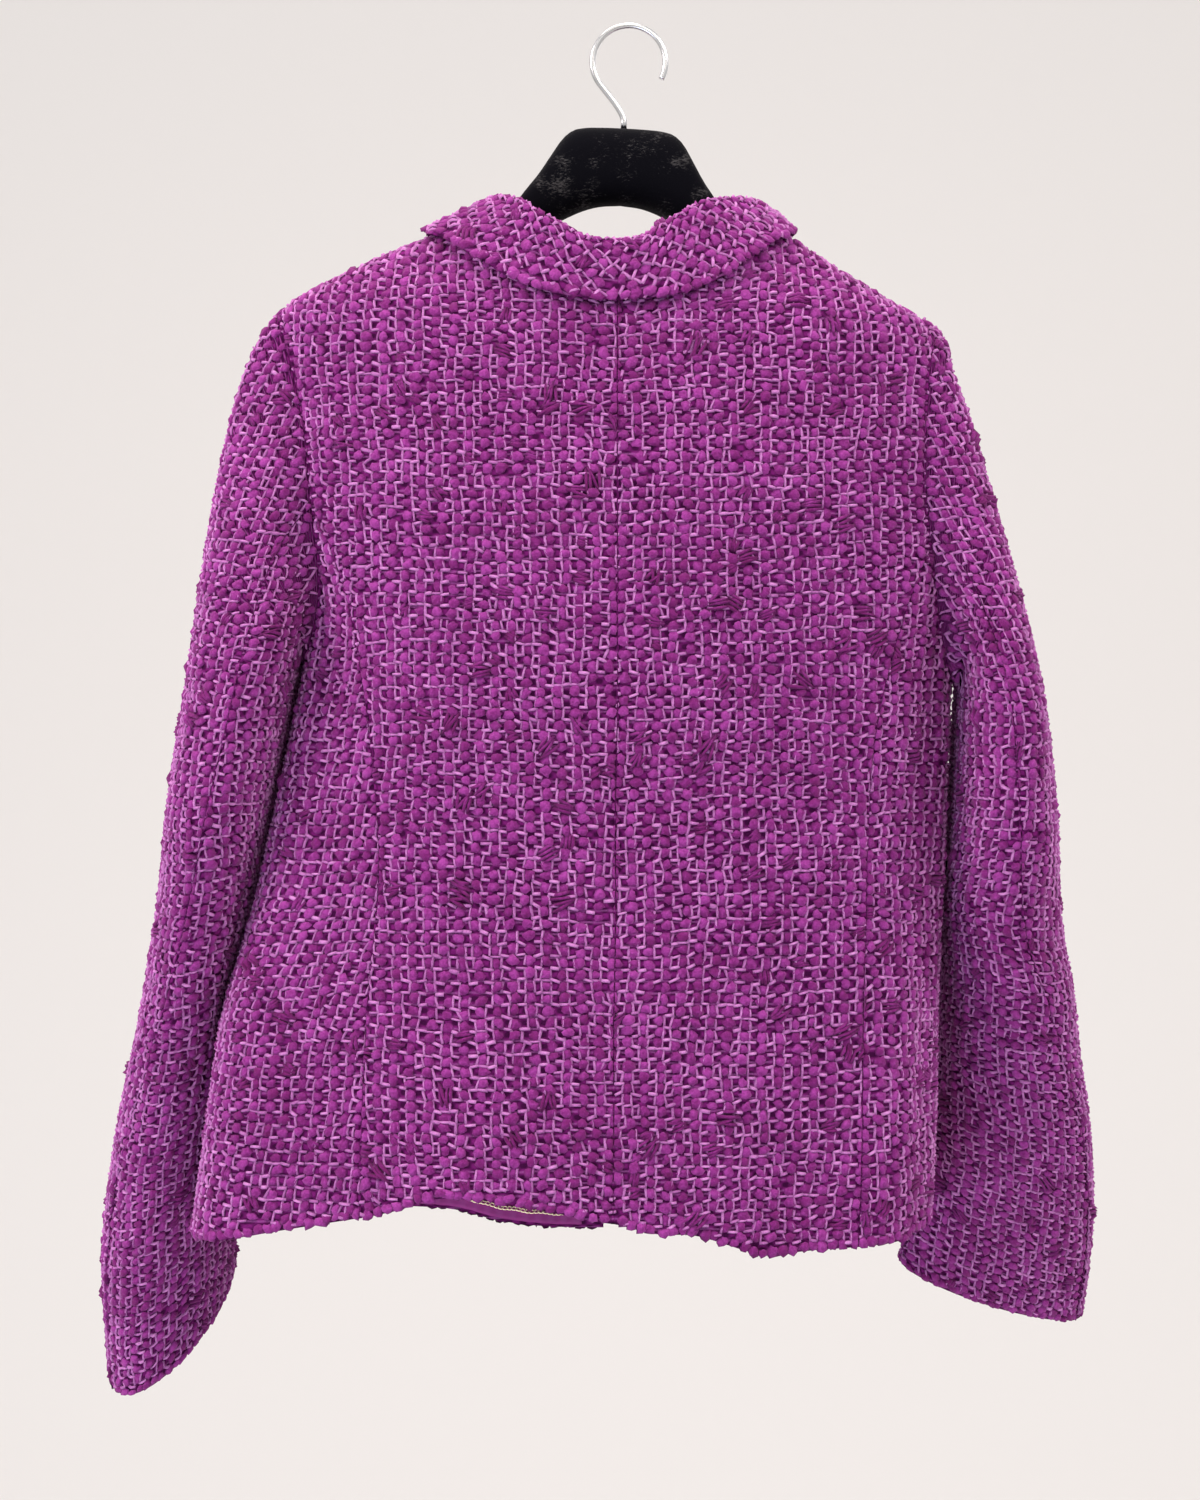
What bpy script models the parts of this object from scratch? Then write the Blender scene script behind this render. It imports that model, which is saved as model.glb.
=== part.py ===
"""Cropped tweed jacket hanging on a broad flocked hanger.

Metres, +Z up. The origin is where the hook's crook rests on a rail, the wearer
would face -Y, and +X is the wearer's left. Sizes in the tables are millimetres.

The torso is a stack of rounded rings. A point on it is named by its turn round
the ring, from 0 degrees at centre back over 90 at the side and along the ridge
of the shoulder to 180 at centre front, and by its height. The panels are cut
from that one surface, so their seams meet with an even gap.
"""

import math

import bpy
import numpy as np

MM = 0.001
CLOTH = 2.4 * MM  # tweed with its backing
COLLAR_CLOTH = 2.8 * MM  # two layers, pressed
FACING = 1.0 * MM  # satin band inside the hem
SEAM_GAP = 0.3 * MM
LAY_GAP = 0.5 * MM  # between cloth and what lies on it

LEFT, RIGHT = 1, -1  # the sign of X on each side of the garment

# Rings of the torso. Half widths are from centre back to each side edge.
SECTION_COLUMNS = ("height", "centre", "left_half", "right_half", "back_depth", "front_depth", "square")
SECTIONS = (
    (-98, 5, 50, 56, 20, 18, 2.2),
    (-106, 6, 73, 77, 27, 25, 2.2),
    (-121, 7, 112, 100, 38, 34, 2.3),
    (-131.5, 8, 137, 117, 43, 38, 2.3),
    (-143, 8, 161, 135, 47, 41, 2.3),
    (-155, 8, 183, 154, 51, 45, 2.4),
    (-166, 8, 193, 173, 54, 49, 2.4),
    (-180, 8, 193, 184, 57, 53, 2.4),
    (-200, 8, 191, 188, 60, 58, 2.4),
    (-268, 8, 183, 191, 67, 74, 2.4),
    (-338, 8, 174, 192, 69, 84, 2.4),
    (-385, 8, 182, 190, 67, 82, 2.4),
    (-443, 9, 193, 189, 64, 75, 2.4),
    (-509, 9, 208, 186, 64, 72, 2.4),
    (-560, 10, 222, 185, 66, 73, 2.4),
    (-620, 10, 231, 184, 70, 76, 2.4),
    (-700, 11, 241, 181, 75, 80, 2.4),
)

# Soft folds of the body cloth: where each crest or trough is strongest and how far it stands out.
FOLD_COLUMNS = ("turn", "height", "spread_turn", "spread_height", "lean", "rise")
BODY_FOLDS = (
    (19, -680, 11, 90, 0.00, 9.0),
    (43, -670, 9, 110, 0.02, -6.0),
    (64, -640, 9, 120, 0.03, 5.0),
    (-30, -685, 13, 100, 0.00, -5.0),
    (-52, -690, 10, 110, -0.02, 6.0),
    (-70, -560, 7, 130, 0.00, -4.0),
    (58, -410, 8, 70, 0.10, -3.5),
    (-62, -420, 8, 75, -0.10, -3.5),
    (5, -250, 16, 70, 0.00, -2.5),
    (122, -560, 10, 140, 0.00, 5.0),
    (-124, -590, 10, 130, 0.00, 5.0),
    (148, -640, 9, 110, 0.00, -4.0),
    (-150, -620, 9, 120, 0.00, -4.0),
)

# Hem line, by turn round the ring.
HEM_COLUMNS = ("turn", "height")
HEM = {
    LEFT: (
        (0, -668), (7, -660), (14, -655), (21, -655.5), (25, -661), (29, -664.5), (38, -670.5), (48, -676),
        (60, -682), (90, -684), (120, -681), (140, -680), (153, -682), (162, -686), (167, -692), (173, -696), (180, -697),
    ),
    RIGHT: (
        (0, -668), (4, -673), (11, -675), (16, -680), (20, -684), (25, -687), (30, -685.5), (41, -684),
        (57, -682), (75, -678), (90, -677), (120, -680), (150, -688), (180, -697),
    ),
}

# Neck seam, by turn round the ring.
NECKLINE_COLUMNS = ("turn", "height")
NECKLINE = (
    (0, -148), (5, -146), (10, -139), (15, -133), (27, -121), (45, -112), (61, -108), (90, -106),
    (112, -107.5), (127, -112), (142, -121), (159, -140), (169, -160), (175, -180), (180, -194),
)

# Armholes: the oval cut out round each shoulder, seen from the side.
ARMHOLE_COLUMNS = ("side", "top", "bottom", "back_reach", "front_reach")
ARMHOLES = ((LEFT, -159, -363, 30, 44), (RIGHT, -164, -374, 36, 44))
ARMHOLE_FULLNESS = 0.85

# Curved seams between back and side panels: distance from centre back across the cloth, by height.
BACK_SEAM_COLUMNS = ("height", "left", "right")
BACK_SEAM = (
    (-272, 168, 176), (-299, 157, 170), (-324, 149, 160), (-357, 142, 150), (-397, 136, 142),
    (-464, 130, 139), (-542, 135, 138), (-633, 138, 136), (-700, 138, 134),
)
BACK_SEAM_MEETS = {LEFT: -274, RIGHT: -296}  # height where it runs into the armhole
FRONT_SEAM_TURN_AT_HEM = 128
FRONT_SEAM_MEETS = -328

FRONT_GAP = (3.0 * MM, 9.0 * MM)  # between the two fronts, at the neck and at the hem

# Sleeves: ovals round the arm, from just under the armhole to the cuff. An oval is turned
# about the upright, and its outer and back edges drop below its middle.
SLEEVE_COLUMNS = ("x", "y", "z", "half_across", "half_deep", "turned", "drop_out", "drop_back")
SLEEVE_RINGS = {
    LEFT: (
        (224, -8, -388, 32, 66, 0, 0, 4),
        (234, -12, -440, 31, 65, 0, 1, 6),
        (245, -27, -500, 29.5, 60, 0, 3, 10),
        (256, -44, -560, 31, 55, 0, 5, 14),
        (268, -61, -620, 35, 51, 0, 9, 17),
        (277, -80, -690, 38.5, 48, 0, 17, 22),
        (278, -106, -755, 38.5, 47, 0, 28, 30),
    ),
    RIGHT: (
        (-211, -6, -398, 26, 68, 0, 0, 4),
        (-213, -12, -440, 30, 67, 0, 1, 5),
        (-214, -26, -500, 35, 60, 0, 4, 7),
        (-220, -45, -560, 40, 51, 4, 7, 9),
        (-226, -64, -620, 48, 40, 10, 11, 10),
        (-226, -85, -690, 57.5, 27, 18, 16, 11),
        (-221, -104, -738, 64, 18, 22, 20, 12),
    ),
}
CAP_SHARE = 0.36  # of the sleeve's length, from the armhole to its first oval
CAP_REACH = {LEFT: (20, 95), RIGHT: (20, 50)}  # how strongly the cap starts outwards, under the arm and on top
CAP_LEAN = (-1.0, -0.5)  # how far it falls for each step outwards there
SLEEVE_SEAM_COLUMNS = ("along", "back_seam", "front_seam")
SLEEVE_SEAMS = ((0.35, 95, 238), (0.55, 80, 240), (0.8, 40, 240), (1.0, 31, 240))
SLEEVE_CLEAR = 3.4 * MM  # between the sleeve and the side that it hangs against
CLEAR_BY = 0.05  # share of the sleeve's length over which it leaves the armhole for that
VENT_START = 0.80  # share of the sleeve's length where the cuff's back seam opens
VENT_GAP = 2.2 * MM

SLEEVE_FOLD_COLUMNS = ("turn", "along", "spread_turn", "spread_along", "lean", "rise")
SLEEVE_FOLDS = {
    LEFT: (
        (75, 0.30, 14, 0.10, 0, -5.0),
        (128, 0.27, 16, 0.10, 0, 5.0),
        (60, 0.52, 26, 0.035, 60, -3.0),
        (110, 0.60, 28, 0.035, 80, 3.0),
        (300, 0.57, 30, 0.035, -60, -4.0),
        (270, 0.64, 30, 0.03, -60, 3.5),
    ),
    RIGHT: (
        (96, 0.24, 9, 0.09, 160, -5.5),
        (5, 0.19, 40, 0.06, 0, -6.0),
        (58, 0.30, 16, 0.12, 60, 4.0),
        (70, 0.55, 26, 0.035, 60, -3.5),
        (45, 0.63, 28, 0.035, 60, 3.0),
        (300, 0.57, 30, 0.035, -60, -4.0),
        (268, 0.65, 30, 0.03, -60, 3.5),
    ),
}

# Collar, by share of the neck seam from centre back to centre front: the height of its fold
# over the seam, and the place of its free edge.
COLLAR_COLUMNS = ("share", "left_stand", "right_stand", "left_out", "right_out", "edge_back", "edge_height")
COLLAR = (
    (0.00, 20.5, 20.5, 0, 0, 54, -165),
    (0.10, 21, 21, 31, 31, 52, -161.5),
    (0.20, 20, 19, 58, 58, 47, -151.5),
    (0.30, 15, 13.5, 84, 83, 39, -136),
    (0.36, 12, 10, 100, 98, 26, -126),
    (0.41, 10, 8.5, 112, 108, 0, -119),
    (0.47, 10, 8.5, 116, 112, -20, -125),
    (0.58, 10, 9.5, 110, 108, -36, -146),
    (0.72, 9, 9, 94, 94, -50, -182),
    (0.86, 8, 8, 72, 72, -60, -218),
    (1.00, 7, 7, 52, 52, -66, -240),
)
SHOULDER_SHARE = 0.41  # of the neck seam, where it crosses the shoulder
COLLAR_FOLD = 5.5 * MM  # outer radius of its fold
COLLAR_OVER = 3.4 * MM  # between the collar and the torso under it
COLLAR_LEAN = 0.6  # how far its stand leans into the neck for each step up

# Hem band and chain, on the inside.
BAND_HEIGHT = 30 * MM
CHAIN_ABOVE_HEM = 9 * MM
CHAIN_WIDTH = 4.6 * MM
CHAIN_THICK = 1.8 * MM

# Hanger, in its own upright frame: a row for each place along it, from the middle out.
HANGER_COLUMNS = ("out", "top", "bottom", "half_deep", "forward")
HANGER = (
    (0, -57.8, -100.5, 17, 0),
    (13, -58, -102, 17, 0),
    (22, -58.6, -105, 17, 0),
    (29, -60.5, -108.5, 17, 0),
    (34.5, -65.5, -111.5, 17, 0),
    (39.5, -73.5, -114.5, 17, 0),
    (47, -86, -118.5, 17, 0),
    (53.5, -95, -121.5, 17, 0),
    (59, -103, -125, 17, 0),
    (64, -109.5, -128.5, 17, 0),
    (69, -114.5, -131.5, 17, 0),
    (76, -118, -135, 17, 0),
    (85, -121.5, -140, 16.5, 0),
    (98, -127, -147, 16, 0),
    (115, -135, -156, 15, 0),
    (135, -145.5, -164, 14, 0),
    (152, -155, -172, 13, 1),
    (163, -161.5, -175, 10, 1),
    (168, -166.5, -173, 6, 1),
)
HANGER_TILT = math.radians(2.8)  # the wearer's right side hangs lower
HANGER_ASIDE = 1.2  # its middle is this far to the wearer's left of the crook
HOOK_WIRE = 3.6 * MM
HOOK_RADIUS = 19 * MM
HOOK_TIP = 205  # degrees round the crook, from the stem's side over the top

# Rows and columns of each panel's grid.
SEAM_ROWS = 12
ARMHOLE_BACK = 8
ARMHOLE_UNDER = 8
ARMHOLE_FRONT = 9
SHOULDER = 7
NECK_BACK = 7
NECK_FRONT = 8
SLEEVE_ALONG = (0, 0.04, 0.09, 0.15, 0.21, 0.28, 0.36, 0.43, 0.50, 0.56, 0.62, 0.68, 0.74, 0.80, 0.86, 0.93, 1.0)


def column(rows, names, name):
    return np.array([row[names.index(name)] for row in rows], float)


def smooth(at, places, values):
    """A cubic Hermite curve through (places, values), with slopes from the neighbours."""
    order = np.argsort(places)
    p, v = np.asarray(places, float)[order], np.asarray(values, float)[order]
    slope = np.gradient(v, p)
    x = np.clip(at, p[0], p[-1])
    k = np.clip(np.searchsorted(p, x, side="right") - 1, 0, len(p) - 2)
    width = p[k + 1] - p[k]
    t = (x - p[k]) / width
    rise = 3 * t**2 - 2 * t**3
    return (
        v[k] * (1 - rise)
        + v[k + 1] * rise
        + slope[k] * width * (t - 2 * t**2 + t**3)
        + slope[k + 1] * width * (t**3 - t**2)
    )


def section(height, name):
    """One measure of the torso's ring at a height, both in metres (or the bare squareness)."""
    value = smooth(np.asarray(height) / MM, column(SECTIONS, SECTION_COLUMNS, "height"),
                   column(SECTIONS, SECTION_COLUMNS, name))
    return value if name == "square" else value * MM


def half_width(side, height):
    return section(height, "left_half" if side == LEFT else "right_half")


def fold_rise(turn, height):
    """How far the folds push the cloth out at a signed turn (degrees, left positive) and height."""
    rise = np.zeros(np.broadcast(turn, height).shape)
    for row in BODY_FOLDS:
        fold = dict(zip(FOLD_COLUMNS, row))
        below = height / MM - fold["height"]
        across = (turn - fold["turn"] - fold["lean"] * below) / fold["spread_turn"]
        rise += fold["rise"] * MM * np.exp(-across**2 / 2 - (below / fold["spread_height"])**2 / 2)
    return rise


def torso(side, turn, height, folded=True):
    """Outer point and outward normal of the torso at a turn (degrees, 0 to 180) and height.

    Each ring is a superellipse, |x/a|^n + |y/b|^n = 1, and the normal is that
    expression's gradient over x, y and height.
    """
    turn, height = np.broadcast_arrays(np.asarray(turn, float), np.asarray(height, float))
    angle = np.radians(turn)

    def measures(h):
        depth = np.where(turn <= 90, section(h, "back_depth"), section(h, "front_depth"))
        return half_width(side, h), depth, section(h, "square"), section(h, "centre")

    a, b, n, centre = measures(height)
    x = a * np.sin(angle) ** (2 / n)
    y = b * np.sign(np.cos(angle)) * np.abs(np.cos(angle)) ** (2 / n)
    step = 0.5 * MM

    def level(h):
        aa, bb, nn, cc = measures(h)
        out = np.maximum(x + side * (centre - cc), 0)
        return (out / aa) ** nn + (np.abs(y) / bb) ** nn

    normal = np.stack([
        side * n * (x / a) ** (n - 1) / a,
        np.sign(y) * n * (np.abs(y) / b) ** (n - 1) / b,
        (level(height + step) - level(height - step)) / (2 * step),
    ], axis=-1)
    normal /= np.linalg.norm(normal, axis=-1, keepdims=True)
    point = np.stack([centre + side * x, y, height], axis=-1)
    if folded:
        point = point + fold_rise(side * turn, height)[..., None] * normal
    return point, normal


def turn_at_x(side, out, height):
    """The back turn at which the ring is `out` to the side of centre back."""
    share = np.clip(out / half_width(side, height), 0, 1)
    return np.degrees(np.arcsin(share ** (section(height, "square") / 2)))


def turn_at_y(depth, height):
    """The turn at which the ring is `depth` behind (positive) or before the side line."""
    whole = np.where(depth >= 0, section(height, "back_depth"), section(height, "front_depth"))
    share = np.clip(np.abs(depth) / whole, 0, 1)
    return 90 - np.sign(depth) * np.degrees(np.arcsin(share ** (section(height, "square") / 2)))


def hem_height(side, turn):
    return MM * smooth(turn, column(HEM[side], HEM_COLUMNS, "turn"), column(HEM[side], HEM_COLUMNS, "height"))


def neck_height(turn):
    return MM * smooth(turn, column(NECKLINE, NECKLINE_COLUMNS, "turn"),
                       column(NECKLINE, NECKLINE_COLUMNS, "height"))


def armhole(side, around):
    """Turn and height of the armhole at an angle round it: 0 on top, 90 at the back, 180 under the arm."""
    hole = next(dict(zip(ARMHOLE_COLUMNS, row)) for row in ARMHOLES if row[0] == side)
    angle = np.radians(around)
    middle, radius = (hole["top"] + hole["bottom"]) / 2, (hole["top"] - hole["bottom"]) / 2
    height = MM * (middle + radius * np.cos(angle))
    reach = np.where(np.sin(angle) >= 0, hole["back_reach"], hole["front_reach"])
    depth = MM * reach * np.sign(np.sin(angle)) * np.abs(np.sin(angle)) ** ARMHOLE_FULLNESS
    return turn_at_y(depth, height), height


def armhole_angle(side, height, at_back):
    """The angle round the armhole that has this height, on its back or front half."""
    hole = next(dict(zip(ARMHOLE_COLUMNS, row)) for row in ARMHOLES if row[0] == side)
    middle, radius = (hole["top"] + hole["bottom"]) / 2, (hole["top"] - hole["bottom"]) / 2
    angle = math.degrees(math.acos((height - middle) / radius))
    return angle if at_back else 360 - angle


def turn_of(side, point):
    """The turn of a point's place on the torso, looked at from the middle of its ring."""
    height = point[..., 2]
    n = section(height, "square")
    out = np.maximum(side * (point[..., 0] - section(height, "centre")), 0) / half_width(side, height)
    back = point[..., 1] / np.where(
        point[..., 1] >= 0, section(height, "back_depth"), section(height, "front_depth"))
    return np.degrees(np.arctan2(out ** (n / 2), np.sign(back) * np.abs(back) ** (n / 2)))


# --- Sleeves ---------------------------------------------------------------

def arm_oval(side, around, share):
    """A point of the sleeve's lower part, at an angle round the arm and a share of the way down."""
    rows = SLEEVE_RINGS[side]
    middles = np.stack([column(rows, SLEEVE_COLUMNS, name) for name in "xyz"], axis=1)
    steps = np.linalg.norm(np.diff(middles, axis=0), axis=1)
    places = np.concatenate([[0], np.cumsum(steps)]) / steps.sum()
    oval = {name: smooth(share, places, column(rows, SLEEVE_COLUMNS, name)) for name in SLEEVE_COLUMNS}
    angle, turned = np.radians(around), np.radians(oval["turned"])
    across, deep = oval["half_across"] * np.cos(angle), oval["half_deep"] * np.sin(angle)
    return MM * np.stack([
        oval["x"] + side * (across * np.cos(turned) + deep * np.sin(turned)),
        oval["y"] + deep * np.cos(turned) - across * np.sin(turned),
        oval["z"] - oval["drop_out"] * np.cos(angle) - oval["drop_back"] * np.sin(angle),
    ], axis=-1)


def hermite(t, start, end, leave, arrive):
    t = np.asarray(t)[..., None]
    rise = 3 * t**2 - 2 * t**3
    return start * (1 - rise) + end * rise + leave * (t - 2 * t**2 + t**3) + arrive * (t**3 - t**2)


def clear_of_torso(side, point, clear):
    """Moves the points that are less than `clear` outside the torso out to that distance."""
    surface, normal = torso(side, turn_of(side, point), point[..., 2])
    outside = ((point - surface) * normal).sum(axis=-1)
    return point + np.maximum(clear - outside, 0)[..., None] * normal


def sleeve(side, around, along):
    """A point of the sleeve: a cap that leaves the armhole and curves down to the arm's first oval, then the ovals."""
    around, along = np.broadcast_arrays(np.asarray(around, float), np.asarray(along, float))
    down = np.clip((along - CAP_SHARE) / (1 - CAP_SHARE), 0, 1)
    lower = arm_oval(side, around, down)
    start = torso(side, *armhole(side, around))[0]
    first = arm_oval(side, around, np.zeros_like(down))
    step = 0.01
    arrive = (arm_oval(side, around, np.full_like(down, step)) - first) / step * CAP_SHARE / (1 - CAP_SHARE)
    top = (1 + np.cos(np.radians(around))) / 2
    low, high = CAP_REACH[side]
    reach = MM * (low + (high - low) * top)
    lean = CAP_LEAN[0] + (CAP_LEAN[1] - CAP_LEAN[0]) * top
    leave = np.stack([side * reach, 0 * reach, lean * reach], axis=-1)
    cap = hermite(np.clip(along / CAP_SHARE, 0, 1), start, first, leave, arrive)
    point = np.where((along < CAP_SHARE)[..., None], cap, lower)
    middle = arm_oval(side, around, down) * 0.5 + arm_oval(side, around + 180, down) * 0.5
    spoke = (point - middle) * (1, 1, 0)
    spoke /= np.linalg.norm(spoke, axis=-1, keepdims=True)
    rise = np.zeros(around.shape)
    for row in SLEEVE_FOLDS[side]:
        fold = dict(zip(SLEEVE_FOLD_COLUMNS, row))
        further = along - fold["along"]
        turn = (around - fold["turn"] - fold["lean"] * further + 180) % 360 - 180
        rise += fold["rise"] * MM * np.exp(
            -(turn / fold["spread_turn"])**2 / 2 - (further / fold["spread_along"])**2 / 2)
    point = point + rise[..., None] * spoke
    return clear_of_torso(side, point, SLEEVE_CLEAR * np.clip(along / CLEAR_BY, 0, 1))


def sleeve_angles(side):
    """Angles round the armhole where the panels have their points: back, under the arm, front."""
    back = armhole_angle(side, BACK_SEAM_MEETS[side], True)
    front = armhole_angle(side, FRONT_SEAM_MEETS, False)
    return (np.linspace(0, back, ARMHOLE_BACK + 1), np.linspace(back, front, ARMHOLE_UNDER + 1),
            np.linspace(front, 360, ARMHOLE_FRONT + 1))


def unit(vectors):
    return vectors / np.maximum(np.linalg.norm(vectors, axis=-1, keepdims=True), 1e-12)


def armhole_mitre(side, around):
    """The direction halfway between the torso's and the sleeve's, which both edges of the seam share."""
    of_torso = torso(side, *armhole(side, around))[1]
    start = sleeve(side, around, 0.0)
    along = sleeve(side, around, 0.01) - start
    round_hole = sleeve(side, around + 1, 0.0) - sleeve(side, around - 1, 0.0)
    of_sleeve = unit(np.cross(round_hole, along)) * -side
    return unit(of_torso + of_sleeve)


def coons(bottom, top, low_side, high_side):
    """Fills the four border lines with a grid, rows from bottom to top."""
    s = np.linspace(0, 1, len(bottom))[None, :, None]
    t = np.linspace(0, 1, len(low_side))[:, None, None]
    between_sides = low_side[:, None] * (1 - s) + high_side[:, None] * s
    between_ends = bottom[None] * (1 - t) + top[None] * t
    corners = (
        (bottom[0] * (1 - t) + top[0] * t) * (1 - s)
        + (bottom[-1] * (1 - t) + top[-1] * t) * s
    )
    return between_sides + between_ends - corners


# --- Walls -----------------------------------------------------------------

def grid_normals(points, closed=False):
    """Unit normals of a grid of points, from the steps to the neighbours. A closed grid runs round its columns."""
    across = (np.roll(points, -1, axis=1) - np.roll(points, 1, axis=1)) if closed else np.gradient(points, axis=1)
    return unit(np.cross(across, np.gradient(points, axis=0)))


def trimmed(points, normals, low=0.0, high=0.0, bottom=0.0, top=0.0):
    """Moves each border of the grid into the panel by its own amount, square to the border."""
    moved = points.copy()
    for amount, here, next_in in ((low, np.s_[:, 0], np.s_[:, 1]), (high, np.s_[:, -1], np.s_[:, -2]),
                                  (bottom, np.s_[0], np.s_[1]), (top, np.s_[-1], np.s_[-2])):
        border = points[here]
        inward = unit(np.cross(normals[here], np.gradient(border, axis=0)))
        inward *= np.sign(((points[next_in] - border) * inward).sum())
        moved[here] += inward * np.reshape(amount, (-1, 1))
    return moved


def material(name, colour, roughness, metallic=0.0):
    made = bpy.data.materials.new(name)
    made.use_nodes = True
    shader = made.node_tree.nodes["Principled BSDF"]
    shader.inputs["Base Color"].default_value = (*colour, 1)
    shader.inputs["Roughness"].default_value = roughness
    shader.inputs["Metallic"].default_value = metallic
    made.diffuse_color = (*colour, 1)
    return made


def add_mesh(name, points, faces, finish):
    """A closed body from points and faces, turned right side out."""
    mesh = bpy.data.meshes.new(name)
    mesh.from_pydata([tuple(p) for p in points], [], faces)
    mesh.update()
    corners = np.array(points)
    volume = 0.0
    for face in faces:
        for a, b in zip(face[1:-1], face[2:]):
            volume += np.dot(corners[face[0]], np.cross(corners[a], corners[b]))
    if volume < 0:
        mesh.flip_normals()
    mesh.materials.append(material(name, *finish))
    mesh.shade_smooth()
    mesh.set_sharp_from_angle(angle=math.radians(40))
    made = bpy.data.objects.new(name, mesh)
    garment.objects.link(made)
    return made


def cloth_wall(name, outer, normals, thickness, finish):
    """A sheet of cloth: the outer grid, the same grid moved in, and a strip round the four borders."""
    rows, columns = outer.shape[:2]
    inner = outer - normals * thickness
    points = np.concatenate([outer.reshape(-1, 3), inner.reshape(-1, 3)])
    index = np.arange(rows * columns).reshape(rows, columns)
    faces = []
    for r in range(rows - 1):
        for c in range(columns - 1):
            near, beside, across, above = index[r, c], index[r, c + 1], index[r + 1, c + 1], index[r + 1, c]
            for face in ((near, beside, across), (near, across, above)):
                faces += [face, tuple(k + rows * columns for k in reversed(face))]
    ring = np.concatenate([index[0, :-1], index[:-1, -1], index[-1, :0:-1], index[:0:-1, 0]])
    for a, b in zip(ring, np.roll(ring, -1)):
        # Both sides of a seam split these strips along the same diagonal, so a twisted strip keeps its gap.
        a_in, b_in = a + rows * columns, b + rows * columns
        faces += [(b, a, a_in), (b, a_in, b_in)] if b > a else [(b, a, b_in), (a, a_in, b_in)]
    return add_mesh(name, points, [tuple(int(k) for k in face) for face in faces], finish)


# --- Torso panels ----------------------------------------------------------

def line(turn, height):
    return np.stack(np.broadcast_arrays(np.asarray(turn, float), np.asarray(height, float)), axis=1)


def spread(side, turn_heights, count):
    """The line again, with its points spread evenly over the cloth."""
    points = torso(side, turn_heights[:, 0], turn_heights[:, 1], folded=False)[0]
    steps = np.linalg.norm(np.diff(points, axis=0), axis=1)
    along = np.concatenate([[0], np.cumsum(steps)])
    wanted = np.linspace(0, along[-1], count + 1)
    return np.stack([np.interp(wanted, along, turn_heights[:, k]) for k in (0, 1)], axis=1)


def back_seam_turn(side, height):
    out = MM * smooth(height / MM, column(BACK_SEAM, BACK_SEAM_COLUMNS, "height"),
                      column(BACK_SEAM, BACK_SEAM_COLUMNS, "left" if side == LEFT else "right"))
    return turn_at_x(side, out, height)


def hem_at_back_seam(side):
    """Turn and height where the back seam reaches the hem, found by going back and forth between the two."""
    turn = 40.0
    for _ in range(20):
        height = hem_height(side, turn)
        turn = float(back_seam_turn(side, height))
    return turn, float(height)


def back_seam(side):
    hem_turn, hem = hem_at_back_seam(side)
    top_turn, top = armhole(side, armhole_angle(side, BACK_SEAM_MEETS[side], True))
    heights = np.linspace(hem, float(top), SEAM_ROWS + 1)
    turns = back_seam_turn(side, heights)
    share = (heights - hem) / (float(top) - hem)
    turns += (float(top_turn) - turns[-1]) * share**4
    return line(turns, heights)


def front_seam(side):
    top_turn, top = armhole(side, armhole_angle(side, FRONT_SEAM_MEETS, False))
    share = np.linspace(0, 1, SEAM_ROWS + 1)
    hem = hem_height(side, FRONT_SEAM_TURN_AT_HEM)
    return line(FRONT_SEAM_TURN_AT_HEM + (top_turn - FRONT_SEAM_TURN_AT_HEM) * share, hem + (top - hem) * share)


def shoulder(side):
    """The ridge from the armhole to the neck."""
    return spread(side, line(90, np.linspace(float(armhole(side, 0)[1]), float(neck_height(90)), 60)), SHOULDER)


def neckline(side, start, end, count):
    turns = np.linspace(start, end, 90)
    return spread(side, line(turns, neck_height(turns)), count)


def centre_front_turn(side, height):
    top, hem = neck_height(180), hem_height(side, 180)
    half_gap = np.interp(height, (hem, top), (FRONT_GAP[1] / 2, FRONT_GAP[0] / 2))
    return 180 - turn_at_x(side, half_gap, height)


def hem_line(side, start, end, count):
    turns = np.linspace(start, end, 60)
    return spread(side, line(turns, hem_height(side, turns)), count)


def panel(side, bottom, top, low_side, high_side):
    """Fills four border lines of turns and heights with a grid on the torso."""
    borders = [torso(side, b[:, 0], b[:, 1], folded=False)[0] for b in (bottom, top, low_side, high_side)]
    bare = coons(*borders)
    points, normals = torso(side, turn_of(side, bare), bare[..., 2])
    everywhere = np.concatenate(sleeve_angles(side))
    edge = torso(side, *armhole(side, everywhere))[0]
    mitre = armhole_mitre(side, everywhere)
    apart = np.linalg.norm(points[..., None, :] - edge, axis=-1)
    nearest = apart.argmin(axis=-1)
    normals = np.where((apart.min(axis=-1) < 0.1 * MM)[..., None], mitre[nearest], normals)
    return points, normals


def back_panel(side):
    seam, (back, _, _) = back_seam(side), sleeve_angles(side)
    hole = line(*armhole(side, back[::-1]))
    heights = np.concatenate([np.linspace(hem_height(side, 0), seam[-1, 1], SEAM_ROWS + 1),
                              np.linspace(seam[-1, 1], neck_height(0), ARMHOLE_BACK + 1)[1:]])
    return panel(
        side,
        hem_line(side, 0, seam[0, 0], NECK_BACK + SHOULDER),
        np.concatenate([neckline(side, 0, 90, NECK_BACK), shoulder(side)[-2::-1]]),
        line(0, heights),
        np.concatenate([seam, hole[1:]]),
    )


def side_panel(side):
    low, high = back_seam(side), front_seam(side)
    return panel(side, hem_line(side, low[0, 0], high[0, 0], ARMHOLE_UNDER),
                 line(*armhole(side, sleeve_angles(side)[1])), low, high)


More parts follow.
